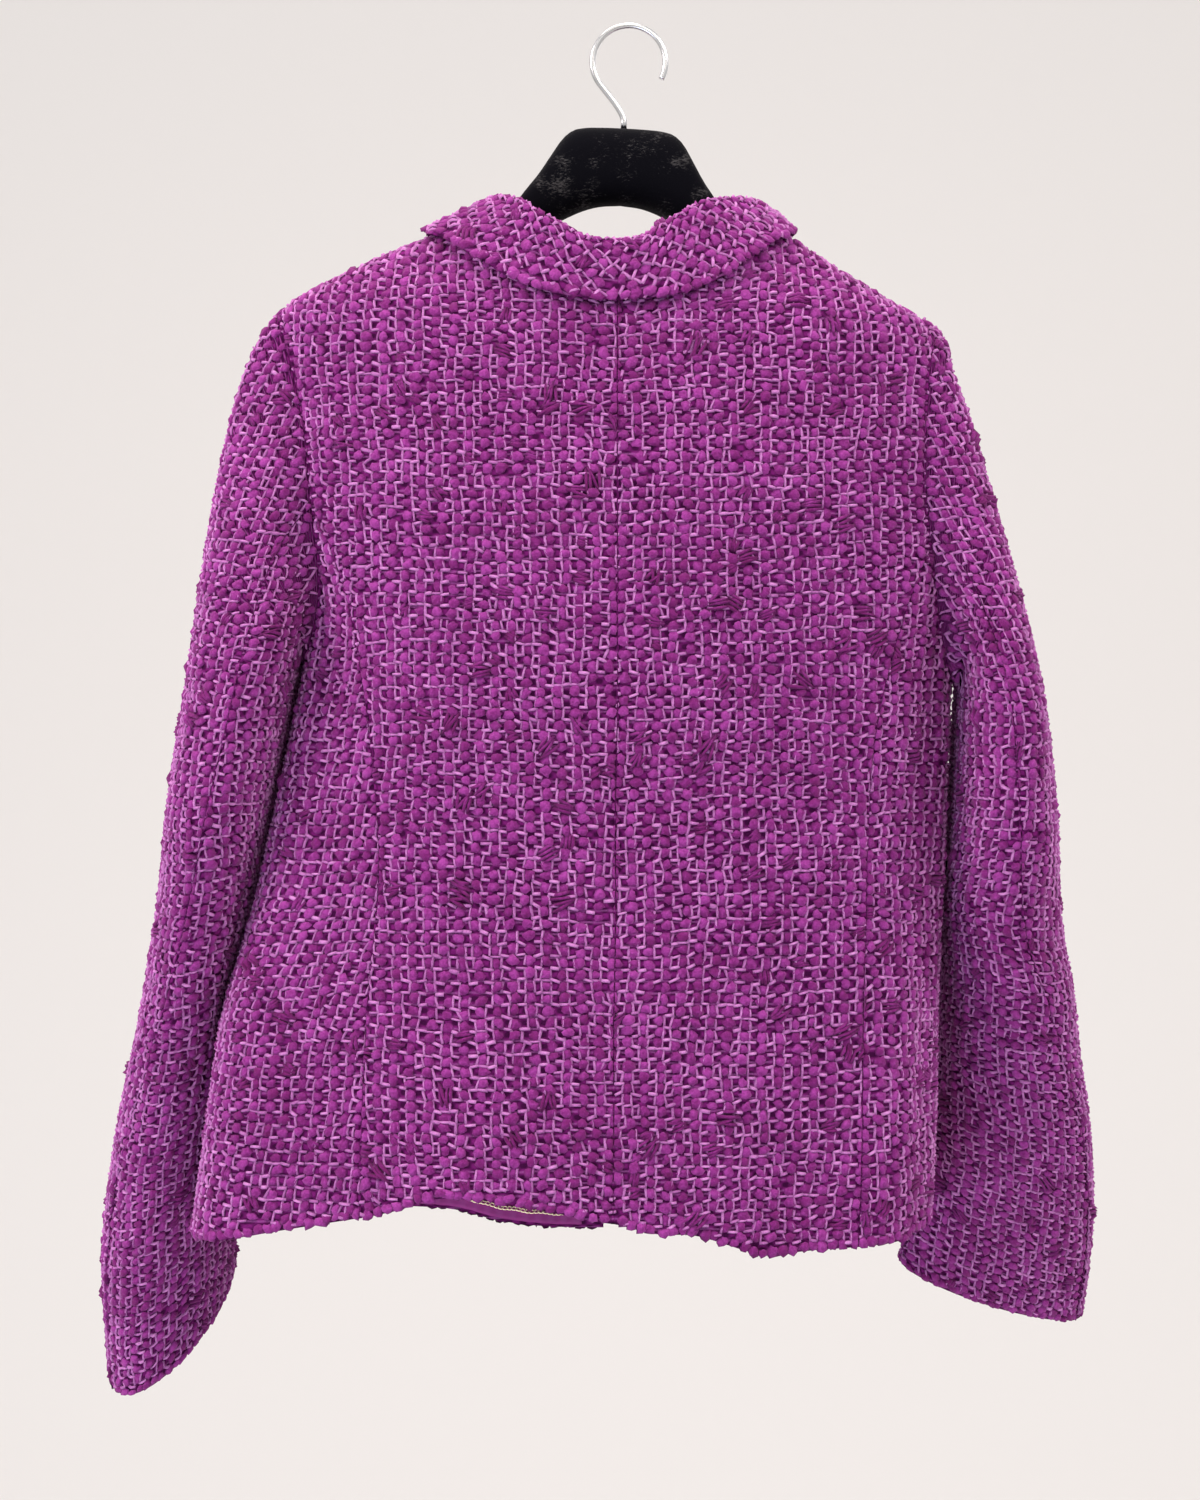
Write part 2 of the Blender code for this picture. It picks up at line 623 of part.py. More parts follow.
def front_panel(side):
    seam, (_, _, front) = front_seam(side), sleeve_angles(side)
    hole = line(*armhole(side, front))
    heights = np.concatenate([np.linspace(hem_height(side, 180), seam[-1, 1], SEAM_ROWS + 1),
                              np.linspace(seam[-1, 1], neck_height(180), ARMHOLE_FRONT + 1)[1:]])
    edge = line(centre_front_turn(side, heights), heights)
    return panel(
        side,
        hem_line(side, seam[0, 0], edge[0, 0], SHOULDER + NECK_FRONT),
        np.concatenate([shoulder(side), neckline(side, 90, edge[-1, 0], NECK_FRONT)[1:]]),
        np.concatenate([seam, hole[1:]]),
        edge,
    )


# --- Building --------------------------------------------------------------

TWEED = ((0.33, 0.05, 0.26), 0.9)
SATIN = ((0.22, 0.03, 0.17), 0.4)
GOLD = ((0.80, 0.66, 0.36), 0.3, 1.0)
FLOCK = ((0.006, 0.006, 0.008), 1.0)
STEEL = ((0.62, 0.62, 0.64), 0.25, 1.0)


def build_torso(side, word):
    half = SEAM_GAP / 2
    points, normals = back_panel(side)
    cloth_wall(f"back_{word}", trimmed(points, normals, low=half, high=half, top=half), normals, CLOTH, TWEED)
    points, normals = side_panel(side)
    cloth_wall(f"side_{word}", trimmed(points, normals, low=half, high=half, top=half), normals, CLOTH, TWEED)
    points, normals = front_panel(side)
    cloth_wall(f"front_{word}", trimmed(points, normals, low=half, top=half), normals, CLOTH, TWEED)


def build_sleeve(side, word):
    back, under, front = sleeve_angles(side)
    start = np.concatenate([under[:-1], front[:-1], 360 + back])
    along = np.array(SLEEVE_ALONG)
    seams = column(SLEEVE_SEAMS, SLEEVE_SEAM_COLUMNS, "along")
    back_at = smooth(along, [0, *seams], [back[-1], *column(SLEEVE_SEAMS, SLEEVE_SEAM_COLUMNS, "back_seam")])
    front_at = smooth(along, [0, *seams], [front[0], *column(SLEEVE_SEAMS, SLEEVE_SEAM_COLUMNS, "front_seam")])
    share = np.where(start < front[0], (start - back[-1]) / (front[0] - back[-1]),
                     1 + (start - front[0]) / (360 + back[-1] - front[0]))
    around = np.where(
        share <= 1,
        back_at[:, None] + (front_at - back_at)[:, None] * share,
        front_at[:, None] + (360 + back_at - front_at)[:, None] * (share - 1),
    )
    points = sleeve(side, around, along[:, None])
    normals = grid_normals(points[:, :-1], closed=True)
    normals = np.concatenate([normals, normals[:, :1]], axis=1) * -side
    normals[0] = armhole_mitre(side, start)
    away = torso(side, *armhole(side, start))[1]
    points[0] += SEAM_GAP * unit(unit(points[1] - points[0]) + away)
    seam = np.where(along > VENT_START, VENT_GAP, SEAM_GAP) / 2
    half = SEAM_GAP / 2
    split = ARMHOLE_UNDER
    for name, part, low, high in (("under_sleeve", np.s_[:, :split + 1], seam, half),
                                  ("upper_sleeve", np.s_[:, split:], half, seam)):
        outer = trimmed(points[part], normals[part], low=low, high=high)
        cloth_wall(f"{name}_{word}", outer, normals[part], CLOTH, TWEED)


def collar_row(side, share, on_seam, normal, into_neck):
    """One row of the collar: up the stand, over the fold on an arc, and down to the free edge on the torso."""
    place = {name: smooth(share, column(COLLAR, COLLAR_COLUMNS, "share"), column(COLLAR, COLLAR_COLUMNS, name))
             * MM for name in COLLAR_COLUMNS[1:]}
    word = "left" if side == LEFT else "right"
    outward = unit(normal * (1, 1, 0))
    up = np.array((0, 0, 1.0))
    base = on_seam + into_neck * SEAM_GAP - normal * (CLOTH + 0.2 * MM)
    climb = unit(up + COLLAR_LEAN * into_neck)
    straight = (place[f"{word}_stand"] - COLLAR_FOLD) * climb / climb[2]
    middle = base + straight + outward * COLLAR_FOLD
    guess = np.array((section(place["edge_height"], "centre") + side * place[f"{word}_out"],
                      place["edge_back"], place["edge_height"]))
    lies_on, lies_normal = torso(side, turn_of(side, guess), guess[2])
    edge = lies_on + lies_normal * (COLLAR_CLOTH + COLLAR_OVER)
    crest = middle + up * COLLAR_FOLD
    slope = math.atan2(crest[2] - edge[2], np.dot(edge - crest, outward))
    end = math.pi / 2 + 0.9 * slope
    arc = [middle + COLLAR_FOLD * (-math.cos(a) * outward + math.sin(a) * up) for a in np.linspace(0, end, 6)]
    leave = math.sin(end) * outward + math.cos(end) * up
    chord = edge - arc[-1]
    arrive = unit(chord - np.dot(chord, lies_normal) * lies_normal)
    length = np.linalg.norm(chord)
    fall = hermite(np.linspace(0, 1, 6)[1:], arc[-1], edge, leave * length, arrive * length)
    fall = clear_of_torso(side, fall, COLLAR_CLOTH + COLLAR_OVER)
    return np.concatenate([[base, base * 0.5 + arc[0] * 0.5], arc, fall])


def collar_grid():
    """Collar points and the directions its root faces.

    Rows go round the neck from the wearer's right front to the left, and columns from the seam to the free edge.
    """
    rows, roots = [], []
    for side in (RIGHT, LEFT):
        end = float(centre_front_turn(side, neck_height(180)))
        seam = np.concatenate([neckline(side, 0, 90, NECK_BACK), neckline(side, 90, end, NECK_FRONT)[1:]])
        on_seam, normals = torso(side, seam[:, 0], seam[:, 1])
        shares = np.linspace(0, 1, len(seam))
        shares = np.interp(shares, (0, NECK_BACK / (NECK_BACK + NECK_FRONT), 1), (0, SHOULDER_SHARE, 1))
        into_neck = unit(np.cross(normals, np.gradient(on_seam, axis=0))) * -side
        half = []
        for k in range(0 if side == RIGHT else 1, len(seam)):
            half.append(collar_row(side, shares[k], on_seam[k], normals[k], into_neck[k]))
        roots += [-normals[k] for k in range(0 if side == RIGHT else 1, len(seam))][::side]
        rows += half[::side]
    return np.array(rows), np.array(roots)


def build_collar():
    points, roots = collar_grid()
    normals = grid_normals(points)
    normals *= np.sign((normals[:, 0] * roots).sum())
    normals[:, 0] = roots
    cloth_wall("collar", points, normals, COLLAR_CLOTH, TWEED)


def build_hem_trim(side, word):
    """The satin band inside a front's hem, and the weighting chain sewn along it."""
    start, end = FRONT_SEAM_TURN_AT_HEM + 2, float(centre_front_turn(side, hem_height(side, 180))) - 2
    turns = hem_line(side, start, end, 12)[:, 0]

    def strip(name, low, high, under, thick, rows, finish):
        heights = hem_height(side, turns) + np.linspace(low, high, rows)[:, None]
        points, normals = torso(side, turns, heights)
        cloth_wall(f"{name}_{word}", points - normals * under, normals, thick, finish)

    under = CLOTH + LAY_GAP
    strip("hem_band", 2 * MM, BAND_HEIGHT, under, FACING, 4, SATIN)
    chain = CHAIN_ABOVE_HEM
    strip("hem_chain", chain, chain + CHAIN_WIDTH, under + FACING + LAY_GAP, CHAIN_THICK, 2, GOLD)


def tilted(points):
    """Turns the hanger's frame about the hook's crook, the wearer's left side upwards."""
    cos, sin = math.cos(HANGER_TILT), math.sin(HANGER_TILT)
    x, y, z = points[..., 0], points[..., 1], points[..., 2]
    return np.stack([x * cos - z * sin, y, z * cos + x * sin], axis=-1)


def build_hanger():
    """A loft of rounded upright sections along the hanger, closed at both tips."""
    half = [dict(zip(HANGER_COLUMNS, row)) for row in HANGER]
    stations = [dict(row, out=-row["out"]) for row in half[:0:-1]] + half
    angles = np.radians(np.arange(0, 360, 30) + 15)
    rings = []
    for row in stations:
        middle, high = (row["top"] + row["bottom"]) / 2, (row["top"] - row["bottom"]) / 2
        cos, sin = np.cos(angles), np.sin(angles)
        y = -row["forward"] + row["half_deep"] * np.sign(cos) * np.abs(cos) ** 0.75
        z = middle + high * np.sign(sin) * np.abs(sin) ** 0.75 / abs(math.sin(math.radians(75))) ** 0.75
        rings.append(np.stack([np.full(len(angles), row["out"] + HANGER_ASIDE), y, z], axis=1))
    points = tilted(MM * np.array(rings))
    count = len(angles)
    index = np.arange(len(points) * count).reshape(-1, count)
    faces = [tuple(int(k) for k in index[0, ::-1]), tuple(int(k) for k in index[-1])]
    for one, two in zip(index[:-1], index[1:]):
        for k in range(count):
            m = (k + 1) % count
            faces += [(int(one[k]), int(one[m]), int(two[m])), (int(one[k]), int(two[m]), int(two[k]))]
    add_mesh("hanger", points.reshape(-1, 3), faces, FLOCK)


def build_hook():
    """A bent wire: up out of the hanger, round to one side and over the rail."""
    radius = HOOK_RADIUS + HOOK_WIRE / 2
    middle = -HOOK_RADIUS
    foot = HANGER[0][1] * MM + SEAM_GAP
    turns = np.radians(np.linspace(-35, HOOK_TIP, 22))
    crook = np.stack([radius * np.cos(turns), np.zeros(22), middle + radius * np.sin(turns)], axis=1)
    root = np.array((HANGER_ASIDE * MM, 0, foot))
    start, end = root + (0, 0, HOOK_WIRE), crook[0]
    leave = np.array((0, 0, 1.0)) * 0.02
    arrive = np.array((-math.sin(turns[0]), 0, math.cos(turns[0]))) * 0.02
    stem = hermite(np.linspace(0, 1, 7)[:-1], start, end, leave, arrive)
    route = tilted(np.concatenate([[root], stem, crook]))
    curve = bpy.data.curves.new("hook", "CURVE")
    curve.dimensions = "3D"
    curve.bevel_depth = HOOK_WIRE / 2
    curve.bevel_resolution = 2
    curve.use_fill_caps = True
    spline = curve.splines.new("POLY")
    spline.points.add(len(route) - 1)
    for point, place in zip(spline.points, route):
        point.co = (*place, 1)
    curve.materials.append(material("hook", *STEEL))
    garment.objects.link(bpy.data.objects.new("hook", curve))


for old in list(bpy.data.objects):
    bpy.data.objects.remove(old)
garment = bpy.data.collections.new("tweed_jacket_on_hanger")
bpy.context.scene.collection.children.link(garment)

for sign, side_word in ((LEFT, "left"), (RIGHT, "right")):
    build_torso(sign, side_word)
    build_sleeve(sign, side_word)
    build_hem_trim(sign, side_word)
build_collar()
build_hanger()
build_hook()
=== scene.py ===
"""Cropped tweed jacket on its flocked hanger: yarns, satin, chain, flock and steel.

Metres, +Z up; the wearer would face -Y and +X is the wearer's left. The cloth is worked
out again from the sizes of its solids, on finer grids, and the yarns stand on it.
Sizes in the tables are millimetres.
"""

import math

import bpy
import numpy as np
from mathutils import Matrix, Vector


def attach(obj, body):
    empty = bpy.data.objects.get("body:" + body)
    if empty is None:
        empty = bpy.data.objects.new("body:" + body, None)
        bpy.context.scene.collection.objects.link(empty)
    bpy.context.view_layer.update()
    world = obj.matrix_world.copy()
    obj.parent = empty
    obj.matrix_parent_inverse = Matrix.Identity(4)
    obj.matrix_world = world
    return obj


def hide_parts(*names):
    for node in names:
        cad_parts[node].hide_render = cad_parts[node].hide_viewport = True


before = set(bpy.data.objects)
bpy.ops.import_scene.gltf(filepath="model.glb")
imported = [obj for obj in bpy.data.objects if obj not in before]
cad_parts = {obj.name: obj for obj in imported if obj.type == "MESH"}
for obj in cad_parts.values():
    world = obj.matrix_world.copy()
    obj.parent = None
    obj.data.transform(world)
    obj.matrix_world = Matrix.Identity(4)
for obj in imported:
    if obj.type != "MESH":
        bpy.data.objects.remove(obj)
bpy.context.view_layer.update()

MM = 0.001
CLOTH = 2.4 * MM  # tweed with its backing
COLLAR_CLOTH = 2.8 * MM  # two layers, pressed
FACING = 1.0 * MM  # satin band inside the hem
SEAM_GAP = 0.3 * MM
LAY_GAP = 0.5 * MM  # between cloth and what lies on it

LEFT, RIGHT = 1, -1  # the sign of X on each side of the garment

# Rings of the torso. Half widths are from centre back to each side edge.
SECTION_COLUMNS = ("height", "centre", "left_half", "right_half", "back_depth", "front_depth", "square")
SECTIONS = (
    (-98, 5, 50, 56, 20, 18, 2.2),
    (-106, 6, 73, 77, 27, 25, 2.2),
    (-121, 7, 112, 100, 38, 34, 2.3),
    (-131.5, 8, 137, 117, 43, 38, 2.3),
    (-143, 8, 161, 135, 47, 41, 2.3),
    (-155, 8, 183, 154, 51, 45, 2.4),
    (-166, 8, 193, 173, 54, 49, 2.4),
    (-180, 8, 193, 184, 57, 53, 2.4),
    (-200, 8, 191, 188, 60, 58, 2.4),
    (-268, 8, 183, 191, 67, 74, 2.4),
    (-338, 8, 174, 192, 69, 84, 2.4),
    (-385, 8, 182, 190, 67, 82, 2.4),
    (-443, 9, 193, 189, 64, 75, 2.4),
    (-509, 9, 208, 186, 64, 72, 2.4),
    (-560, 10, 222, 185, 66, 73, 2.4),
    (-620, 10, 231, 184, 70, 76, 2.4),
    (-700, 11, 241, 181, 75, 80, 2.4),
)

# Soft folds of the body cloth: where each crest or trough is strongest and how far it stands out.
FOLD_COLUMNS = ("turn", "height", "spread_turn", "spread_height", "lean", "rise")
BODY_FOLDS = (
    (19, -680, 11, 90, 0.00, 9.0),
    (43, -670, 9, 110, 0.02, -6.0),
    (64, -640, 9, 120, 0.03, 5.0),
    (-30, -685, 13, 100, 0.00, -5.0),
    (-52, -690, 10, 110, -0.02, 6.0),
    (-70, -560, 7, 130, 0.00, -4.0),
    (58, -410, 8, 70, 0.10, -3.5),
    (-62, -420, 8, 75, -0.10, -3.5),
    (5, -250, 16, 70, 0.00, -2.5),
    (122, -560, 10, 140, 0.00, 5.0),
    (-124, -590, 10, 130, 0.00, 5.0),
    (148, -640, 9, 110, 0.00, -4.0),
    (-150, -620, 9, 120, 0.00, -4.0),
)

# Hem line, by turn round the ring.
HEM_COLUMNS = ("turn", "height")
HEM = {
    LEFT: (
        (0, -668), (7, -660), (14, -655), (21, -655.5), (25, -661), (29, -664.5), (38, -670.5), (48, -676),
        (60, -682), (90, -684), (120, -681), (140, -680), (153, -682), (162, -686), (167, -692), (173, -696),
        (180, -697),
    ),
    RIGHT: (
        (0, -668), (4, -673), (11, -675), (16, -680), (20, -684), (25, -687), (30, -685.5), (41, -684),
        (57, -682), (75, -678), (90, -677), (120, -680), (150, -688), (180, -697),
    ),
}

# Neck seam, by turn round the ring.
NECKLINE_COLUMNS = ("turn", "height")
NECKLINE = (
    (0, -148), (5, -146), (10, -139), (15, -133), (27, -121), (45, -112), (61, -108), (90, -106),
    (112, -107.5), (127, -112), (142, -121), (159, -140), (169, -160), (175, -180), (180, -194),
)

# Armholes: the oval cut out round each shoulder, seen from the side.
ARMHOLE_COLUMNS = ("side", "top", "bottom", "back_reach", "front_reach")
ARMHOLES = ((LEFT, -159, -363, 30, 44), (RIGHT, -164, -374, 36, 44))
ARMHOLE_FULLNESS = 0.85

# Curved seams between back and side panels: distance from centre back across the cloth, by height.
BACK_SEAM_COLUMNS = ("height", "left", "right")
BACK_SEAM = (
    (-272, 168, 176), (-299, 157, 170), (-324, 149, 160), (-357, 142, 150), (-397, 136, 142),
    (-464, 130, 139), (-542, 135, 138), (-633, 138, 136), (-700, 138, 134),
)
BACK_SEAM_MEETS = {LEFT: -274, RIGHT: -296}  # height where it runs into the armhole
FRONT_SEAM_TURN_AT_HEM = 128
FRONT_SEAM_MEETS = -328

FRONT_GAP = (3.0 * MM, 9.0 * MM)  # between the two fronts, at the neck and at the hem

# Sleeves: ovals round the arm, from just under the armhole to the cuff. An oval is turned
# about the upright, and its outer and back edges drop below its middle.
SLEEVE_COLUMNS = ("x", "y", "z", "half_across", "half_deep", "turned", "drop_out", "drop_back")
SLEEVE_RINGS = {
    LEFT: (
        (224, -8, -388, 32, 66, 0, 0, 4),
        (234, -12, -440, 31, 65, 0, 1, 6),
        (245, -27, -500, 29.5, 60, 0, 3, 10),
        (256, -44, -560, 31, 55, 0, 5, 14),
        (268, -61, -620, 35, 51, 0, 9, 17),
        (277, -80, -690, 38.5, 48, 0, 17, 22),
        (278, -106, -755, 38.5, 47, 0, 28, 30),
    ),
    RIGHT: (
        (-211, -6, -398, 26, 68, 0, 0, 4),
        (-213, -12, -440, 30, 67, 0, 1, 5),
        (-214, -26, -500, 35, 60, 0, 4, 7),
        (-220, -45, -560, 40, 51, 4, 7, 9),
        (-226, -64, -620, 48, 40, 10, 11, 10),
        (-226, -85, -690, 57.5, 27, 18, 16, 11),
        (-221, -104, -738, 64, 18, 22, 20, 12),
    ),
}
CAP_SHARE = 0.36  # of the sleeve's length, from the armhole to its first oval
CAP_REACH = {LEFT: (20, 95), RIGHT: (20, 50)}  # how strongly it starts outwards, under the arm and on top
CAP_LEAN = (-1.0, -0.5)  # how far it falls for each step outwards there
SLEEVE_SEAM_COLUMNS = ("along", "back_seam", "front_seam")
SLEEVE_SEAMS = ((0.35, 95, 238), (0.55, 80, 240), (0.8, 40, 240), (1.0, 31, 240))
SLEEVE_CLEAR = 3.4 * MM  # between the sleeve and the side that it hangs against
CLEAR_BY = 0.05  # share of the sleeve's length over which it leaves the armhole for that
VENT_START = 0.80  # share of the sleeve's length where the cuff's back seam opens
VENT_GAP = 2.2 * MM
VENT_YARN_GAP = 1.5 * MM  # kept free by the yarns on each side of it

SLEEVE_FOLD_COLUMNS = ("turn", "along", "spread_turn", "spread_along", "lean", "rise")
SLEEVE_FOLDS = {
    LEFT: (
        (75, 0.30, 14, 0.10, 0, -5.0),
        (128, 0.27, 16, 0.10, 0, 5.0),
        (60, 0.52, 26, 0.035, 60, -3.0),
        (110, 0.60, 28, 0.035, 80, 3.0),
        (300, 0.57, 30, 0.035, -60, -4.0),
        (270, 0.64, 30, 0.03, -60, 3.5),
    ),
    RIGHT: (
        (96, 0.24, 9, 0.09, 160, -5.5),
        (5, 0.19, 40, 0.06, 0, -6.0),
        (58, 0.30, 16, 0.12, 60, 4.0),
        (70, 0.55, 26, 0.035, 60, -3.5),
        (45, 0.63, 28, 0.035, 60, 3.0),
        (300, 0.57, 30, 0.035, -60, -4.0),
        (268, 0.65, 30, 0.03, -60, 3.5),
    ),
}

# Collar, by share of the neck seam from centre back to centre front: the height of its fold
# over the seam, and the place of its free edge.
COLLAR_COLUMNS = ("share", "left_stand", "right_stand", "left_out", "right_out", "edge_back", "edge_height")
COLLAR = (
    (0.00, 20.5, 20.5, 0, 0, 54, -165),
    (0.10, 21, 21, 31, 31, 52, -161.5),
    (0.20, 20, 19, 58, 58, 47, -151.5),
    (0.30, 15, 13.5, 84, 83, 39, -136),
    (0.36, 12, 10, 100, 98, 26, -126),
    (0.41, 10, 8.5, 112, 108, 0, -119),
    (0.47, 10, 8.5, 116, 112, -20, -125),
    (0.58, 10, 9.5, 110, 108, -36, -146),
    (0.72, 9, 9, 94, 94, -50, -182),
    (0.86, 8, 8, 72, 72, -60, -218),
    (1.00, 7, 7, 52, 52, -66, -240),
)
SHOULDER_SHARE = 0.41  # of the neck seam, where it crosses the shoulder
COLLAR_FOLD = 5.5 * MM  # outer radius of its fold
COLLAR_OVER = 3.4 * MM  # between the collar and the torso under it
COLLAR_LEAN = 0.6  # how far its stand leans into the neck for each step up

# Hem band and chain, on the inside.
BAND_HEIGHT = 30 * MM
CHAIN_ABOVE_HEM = 9 * MM
CHAIN_THICK = 1.8 * MM

# Hanger, in its own upright frame: a row for each place along it, from the middle out.
HANGER_COLUMNS = ("out", "top", "bottom", "half_deep", "forward")
HANGER = (
    (0, -57.8, -100.5, 17, 0),
    (13, -58, -102, 17, 0),
    (22, -58.6, -105, 17, 0),
    (29, -60.5, -108.5, 17, 0),
    (34.5, -65.5, -111.5, 17, 0),
    (39.5, -73.5, -114.5, 17, 0),
    (47, -86, -118.5, 17, 0),
    (53.5, -95, -121.5, 17, 0),
    (59, -103, -125, 17, 0),
    (64, -109.5, -128.5, 17, 0),
    (69, -114.5, -131.5, 17, 0),
    (76, -118, -135, 17, 0),
    (85, -121.5, -140, 16.5, 0),
    (98, -127, -147, 16, 0),
    (115, -135, -156, 15, 0),
    (135, -145.5, -164, 14, 0),
    (152, -155, -172, 13, 1),
    (163, -161.5, -175, 10, 1),
    (168, -166.5, -173, 6, 1),
)
HANGER_TILT = math.radians(2.8)  # the wearer's right side hangs lower
HANGER_ASIDE = 1.2  # its middle is this far to the wearer's left of the crook
HOOK_WIRE = 3.6 * MM
HOOK_RADIUS = 19 * MM
HOOK_TIP = 205  # degrees round the crook, from the stem's side over the top

# Rows and columns of each panel's grid.
SEAM_ROWS = 48
ARMHOLE_BACK = 32
ARMHOLE_UNDER = 28
ARMHOLE_FRONT = 36
SHOULDER = 26
NECK_BACK = 26
NECK_FRONT = 30
SLEEVE_ALONG = np.linspace(0, 1, 76)


def column(rows, names, name):
    """One measure of every row of a table."""
    return np.array([row[names.index(name)] for row in rows], float)


def smooth(at, places, values):
    """A cubic Hermite curve through (places, values), with slopes from the neighbours.

    With t the share of the way from one place to the next, w their distance and h = 3t^2 - 2t^3,
    it is v0 (1 - h) + v1 h + w (s0 (t - 2t^2 + t^3) + s1 (t^3 - t^2)).
    """
    order = np.argsort(places)
    p, v = np.asarray(places, float)[order], np.asarray(values, float)[order]
    slope = np.gradient(v, p)
    x = np.clip(at, p[0], p[-1])
    k = np.clip(np.searchsorted(p, x, side="right") - 1, 0, len(p) - 2)
    width = p[k + 1] - p[k]
    t = (x - p[k]) / width
    rise = 3 * t**2 - 2 * t**3
    return (
        v[k] * (1 - rise)
        + v[k + 1] * rise
        + slope[k] * width * (t - 2 * t**2 + t**3)
        + slope[k + 1] * width * (t**3 - t**2)
    )


def section(height, name):
    """One measure of the torso's ring at a height, both in metres (or the bare squareness)."""
    value = smooth(np.asarray(height) / MM, column(SECTIONS, SECTION_COLUMNS, "height"),
                   column(SECTIONS, SECTION_COLUMNS, name))
    return value if name == "square" else value * MM


def half_width(side, height):
    """Half the ring's width at a height, from centre back to the side."""
    return section(height, "left_half" if side == LEFT else "right_half")


def fold_rise(turn, height):
    """How far the folds push the cloth out at a signed turn (degrees, left positive) and height.

    Each fold is its rise times exp(-(turn / spread)^2 / 2 - (height / spread)^2 / 2).
    """
    rise = np.zeros(np.broadcast(turn, height).shape)
    for row in BODY_FOLDS:
        fold = dict(zip(FOLD_COLUMNS, row))
        below = height / MM - fold["height"]
        across = (turn - fold["turn"] - fold["lean"] * below) / fold["spread_turn"]
        rise += fold["rise"] * MM * np.exp(-across**2 / 2 - (below / fold["spread_height"])**2 / 2)
    return rise


def torso(side, turn, height, folded=True):
    """Outer point and outward normal of the torso at a turn (degrees, 0 to 180) and height.

    Each ring is a superellipse, |x/a|^n + |y/b|^n = 1, and the normal is that
    expression's gradient over x, y and height.
    """
    turn, height = np.broadcast_arrays(np.asarray(turn, float), np.asarray(height, float))
    angle = np.radians(turn)

    def measures(h):
        depth = np.where(turn <= 90, section(h, "back_depth"), section(h, "front_depth"))
        return half_width(side, h), depth, section(h, "square"), section(h, "centre")

    a, b, n, centre = measures(height)
    x = a * np.sin(angle) ** (2 / n)
    y = b * np.sign(np.cos(angle)) * np.abs(np.cos(angle)) ** (2 / n)
    step = 0.5 * MM

    def level(h):
        aa, bb, nn, cc = measures(h)
        out = np.maximum(x + side * (centre - cc), 0)
        return (out / aa) ** nn + (np.abs(y) / bb) ** nn

    normal = np.stack([
        side * n * (x / a) ** (n - 1) / a,
        np.sign(y) * n * (np.abs(y) / b) ** (n - 1) / b,
        (level(height + step) - level(height - step)) / (2 * step),
    ], axis=-1)
    normal /= np.linalg.norm(normal, axis=-1, keepdims=True)
    point = np.stack([centre + side * x, y, height], axis=-1)
    if folded:
        point = point + fold_rise(side * turn, height)[..., None] * normal
    return point, normal


def turn_at_x(side, out, height):
    """The back turn at which the ring is `out` to the side of centre back: sin(turn) = (out / a)^(n / 2)."""
    share = np.clip(out / half_width(side, height), 0, 1)
    return np.degrees(np.arcsin(share ** (section(height, "square") / 2)))


def turn_at_y(depth, height):
    """The turn at which the ring is `depth` behind (positive) or before the side line.

    cos(turn) = (depth / b)^(n / 2), with the sign of the depth.
    """
    whole = np.where(depth >= 0, section(height, "back_depth"), section(height, "front_depth"))
    share = np.clip(np.abs(depth) / whole, 0, 1)
    return 90 - np.sign(depth) * np.degrees(np.arcsin(share ** (section(height, "square") / 2)))


def hem_height(side, turn):
    """The hem's height at a turn, on a smooth curve through its table."""
    return MM * smooth(turn, column(HEM[side], HEM_COLUMNS, "turn"), column(HEM[side], HEM_COLUMNS, "height"))


def neck_height(turn):
    """The neck seam's height at a turn, on a smooth curve through its table."""
    return MM * smooth(turn, column(NECKLINE, NECKLINE_COLUMNS, "turn"),
                       column(NECKLINE, NECKLINE_COLUMNS, "height"))


def hole_of(side):
    """The armhole's measures by name, with the middle and half of its height."""
    hole = next(dict(zip(ARMHOLE_COLUMNS, row)) for row in ARMHOLES if row[0] == side)
    hole["middle"], hole["radius"] = (hole["top"] + hole["bottom"]) / 2, (hole["top"] - hole["bottom"]) / 2
    return hole


def armhole(side, around):
    """Turn and height of the armhole at an angle round it: 0 on top, 90 at the back, 180 under the arm.

    The height is middle + radius cos(angle), and the depth reach |sin(angle)|^fullness, signed.
    """
    hole = hole_of(side)
    angle = np.radians(around)
    height = MM * (hole["middle"] + hole["radius"] * np.cos(angle))
    reach = np.where(np.sin(angle) >= 0, hole["back_reach"], hole["front_reach"])
    depth = MM * reach * np.sign(np.sin(angle)) * np.abs(np.sin(angle)) ** ARMHOLE_FULLNESS
    return turn_at_y(depth, height), height


def armhole_angle(side, height, at_back):
    """The angle round the armhole that has this height, on its back or front half."""
    hole = hole_of(side)
    angle = math.degrees(math.acos((height - hole["middle"]) / hole["radius"]))
    return angle if at_back else 360 - angle


def turn_of(side, point):
    """The turn of a point's place on the torso, looked at from the middle of its ring.

    tan(turn) = (out / a)^(n / 2) / (back / b)^(n / 2).
    """
    height = point[..., 2]
    n = section(height, "square")
    out = np.maximum(side * (point[..., 0] - section(height, "centre")), 0) / half_width(side, height)
    back = point[..., 1] / np.where(
        point[..., 1] >= 0, section(height, "back_depth"), section(height, "front_depth"))
    return np.degrees(np.arctan2(out ** (n / 2), np.sign(back) * np.abs(back) ** (n / 2)))


# --- Sleeves ---------------------------------------------------------------

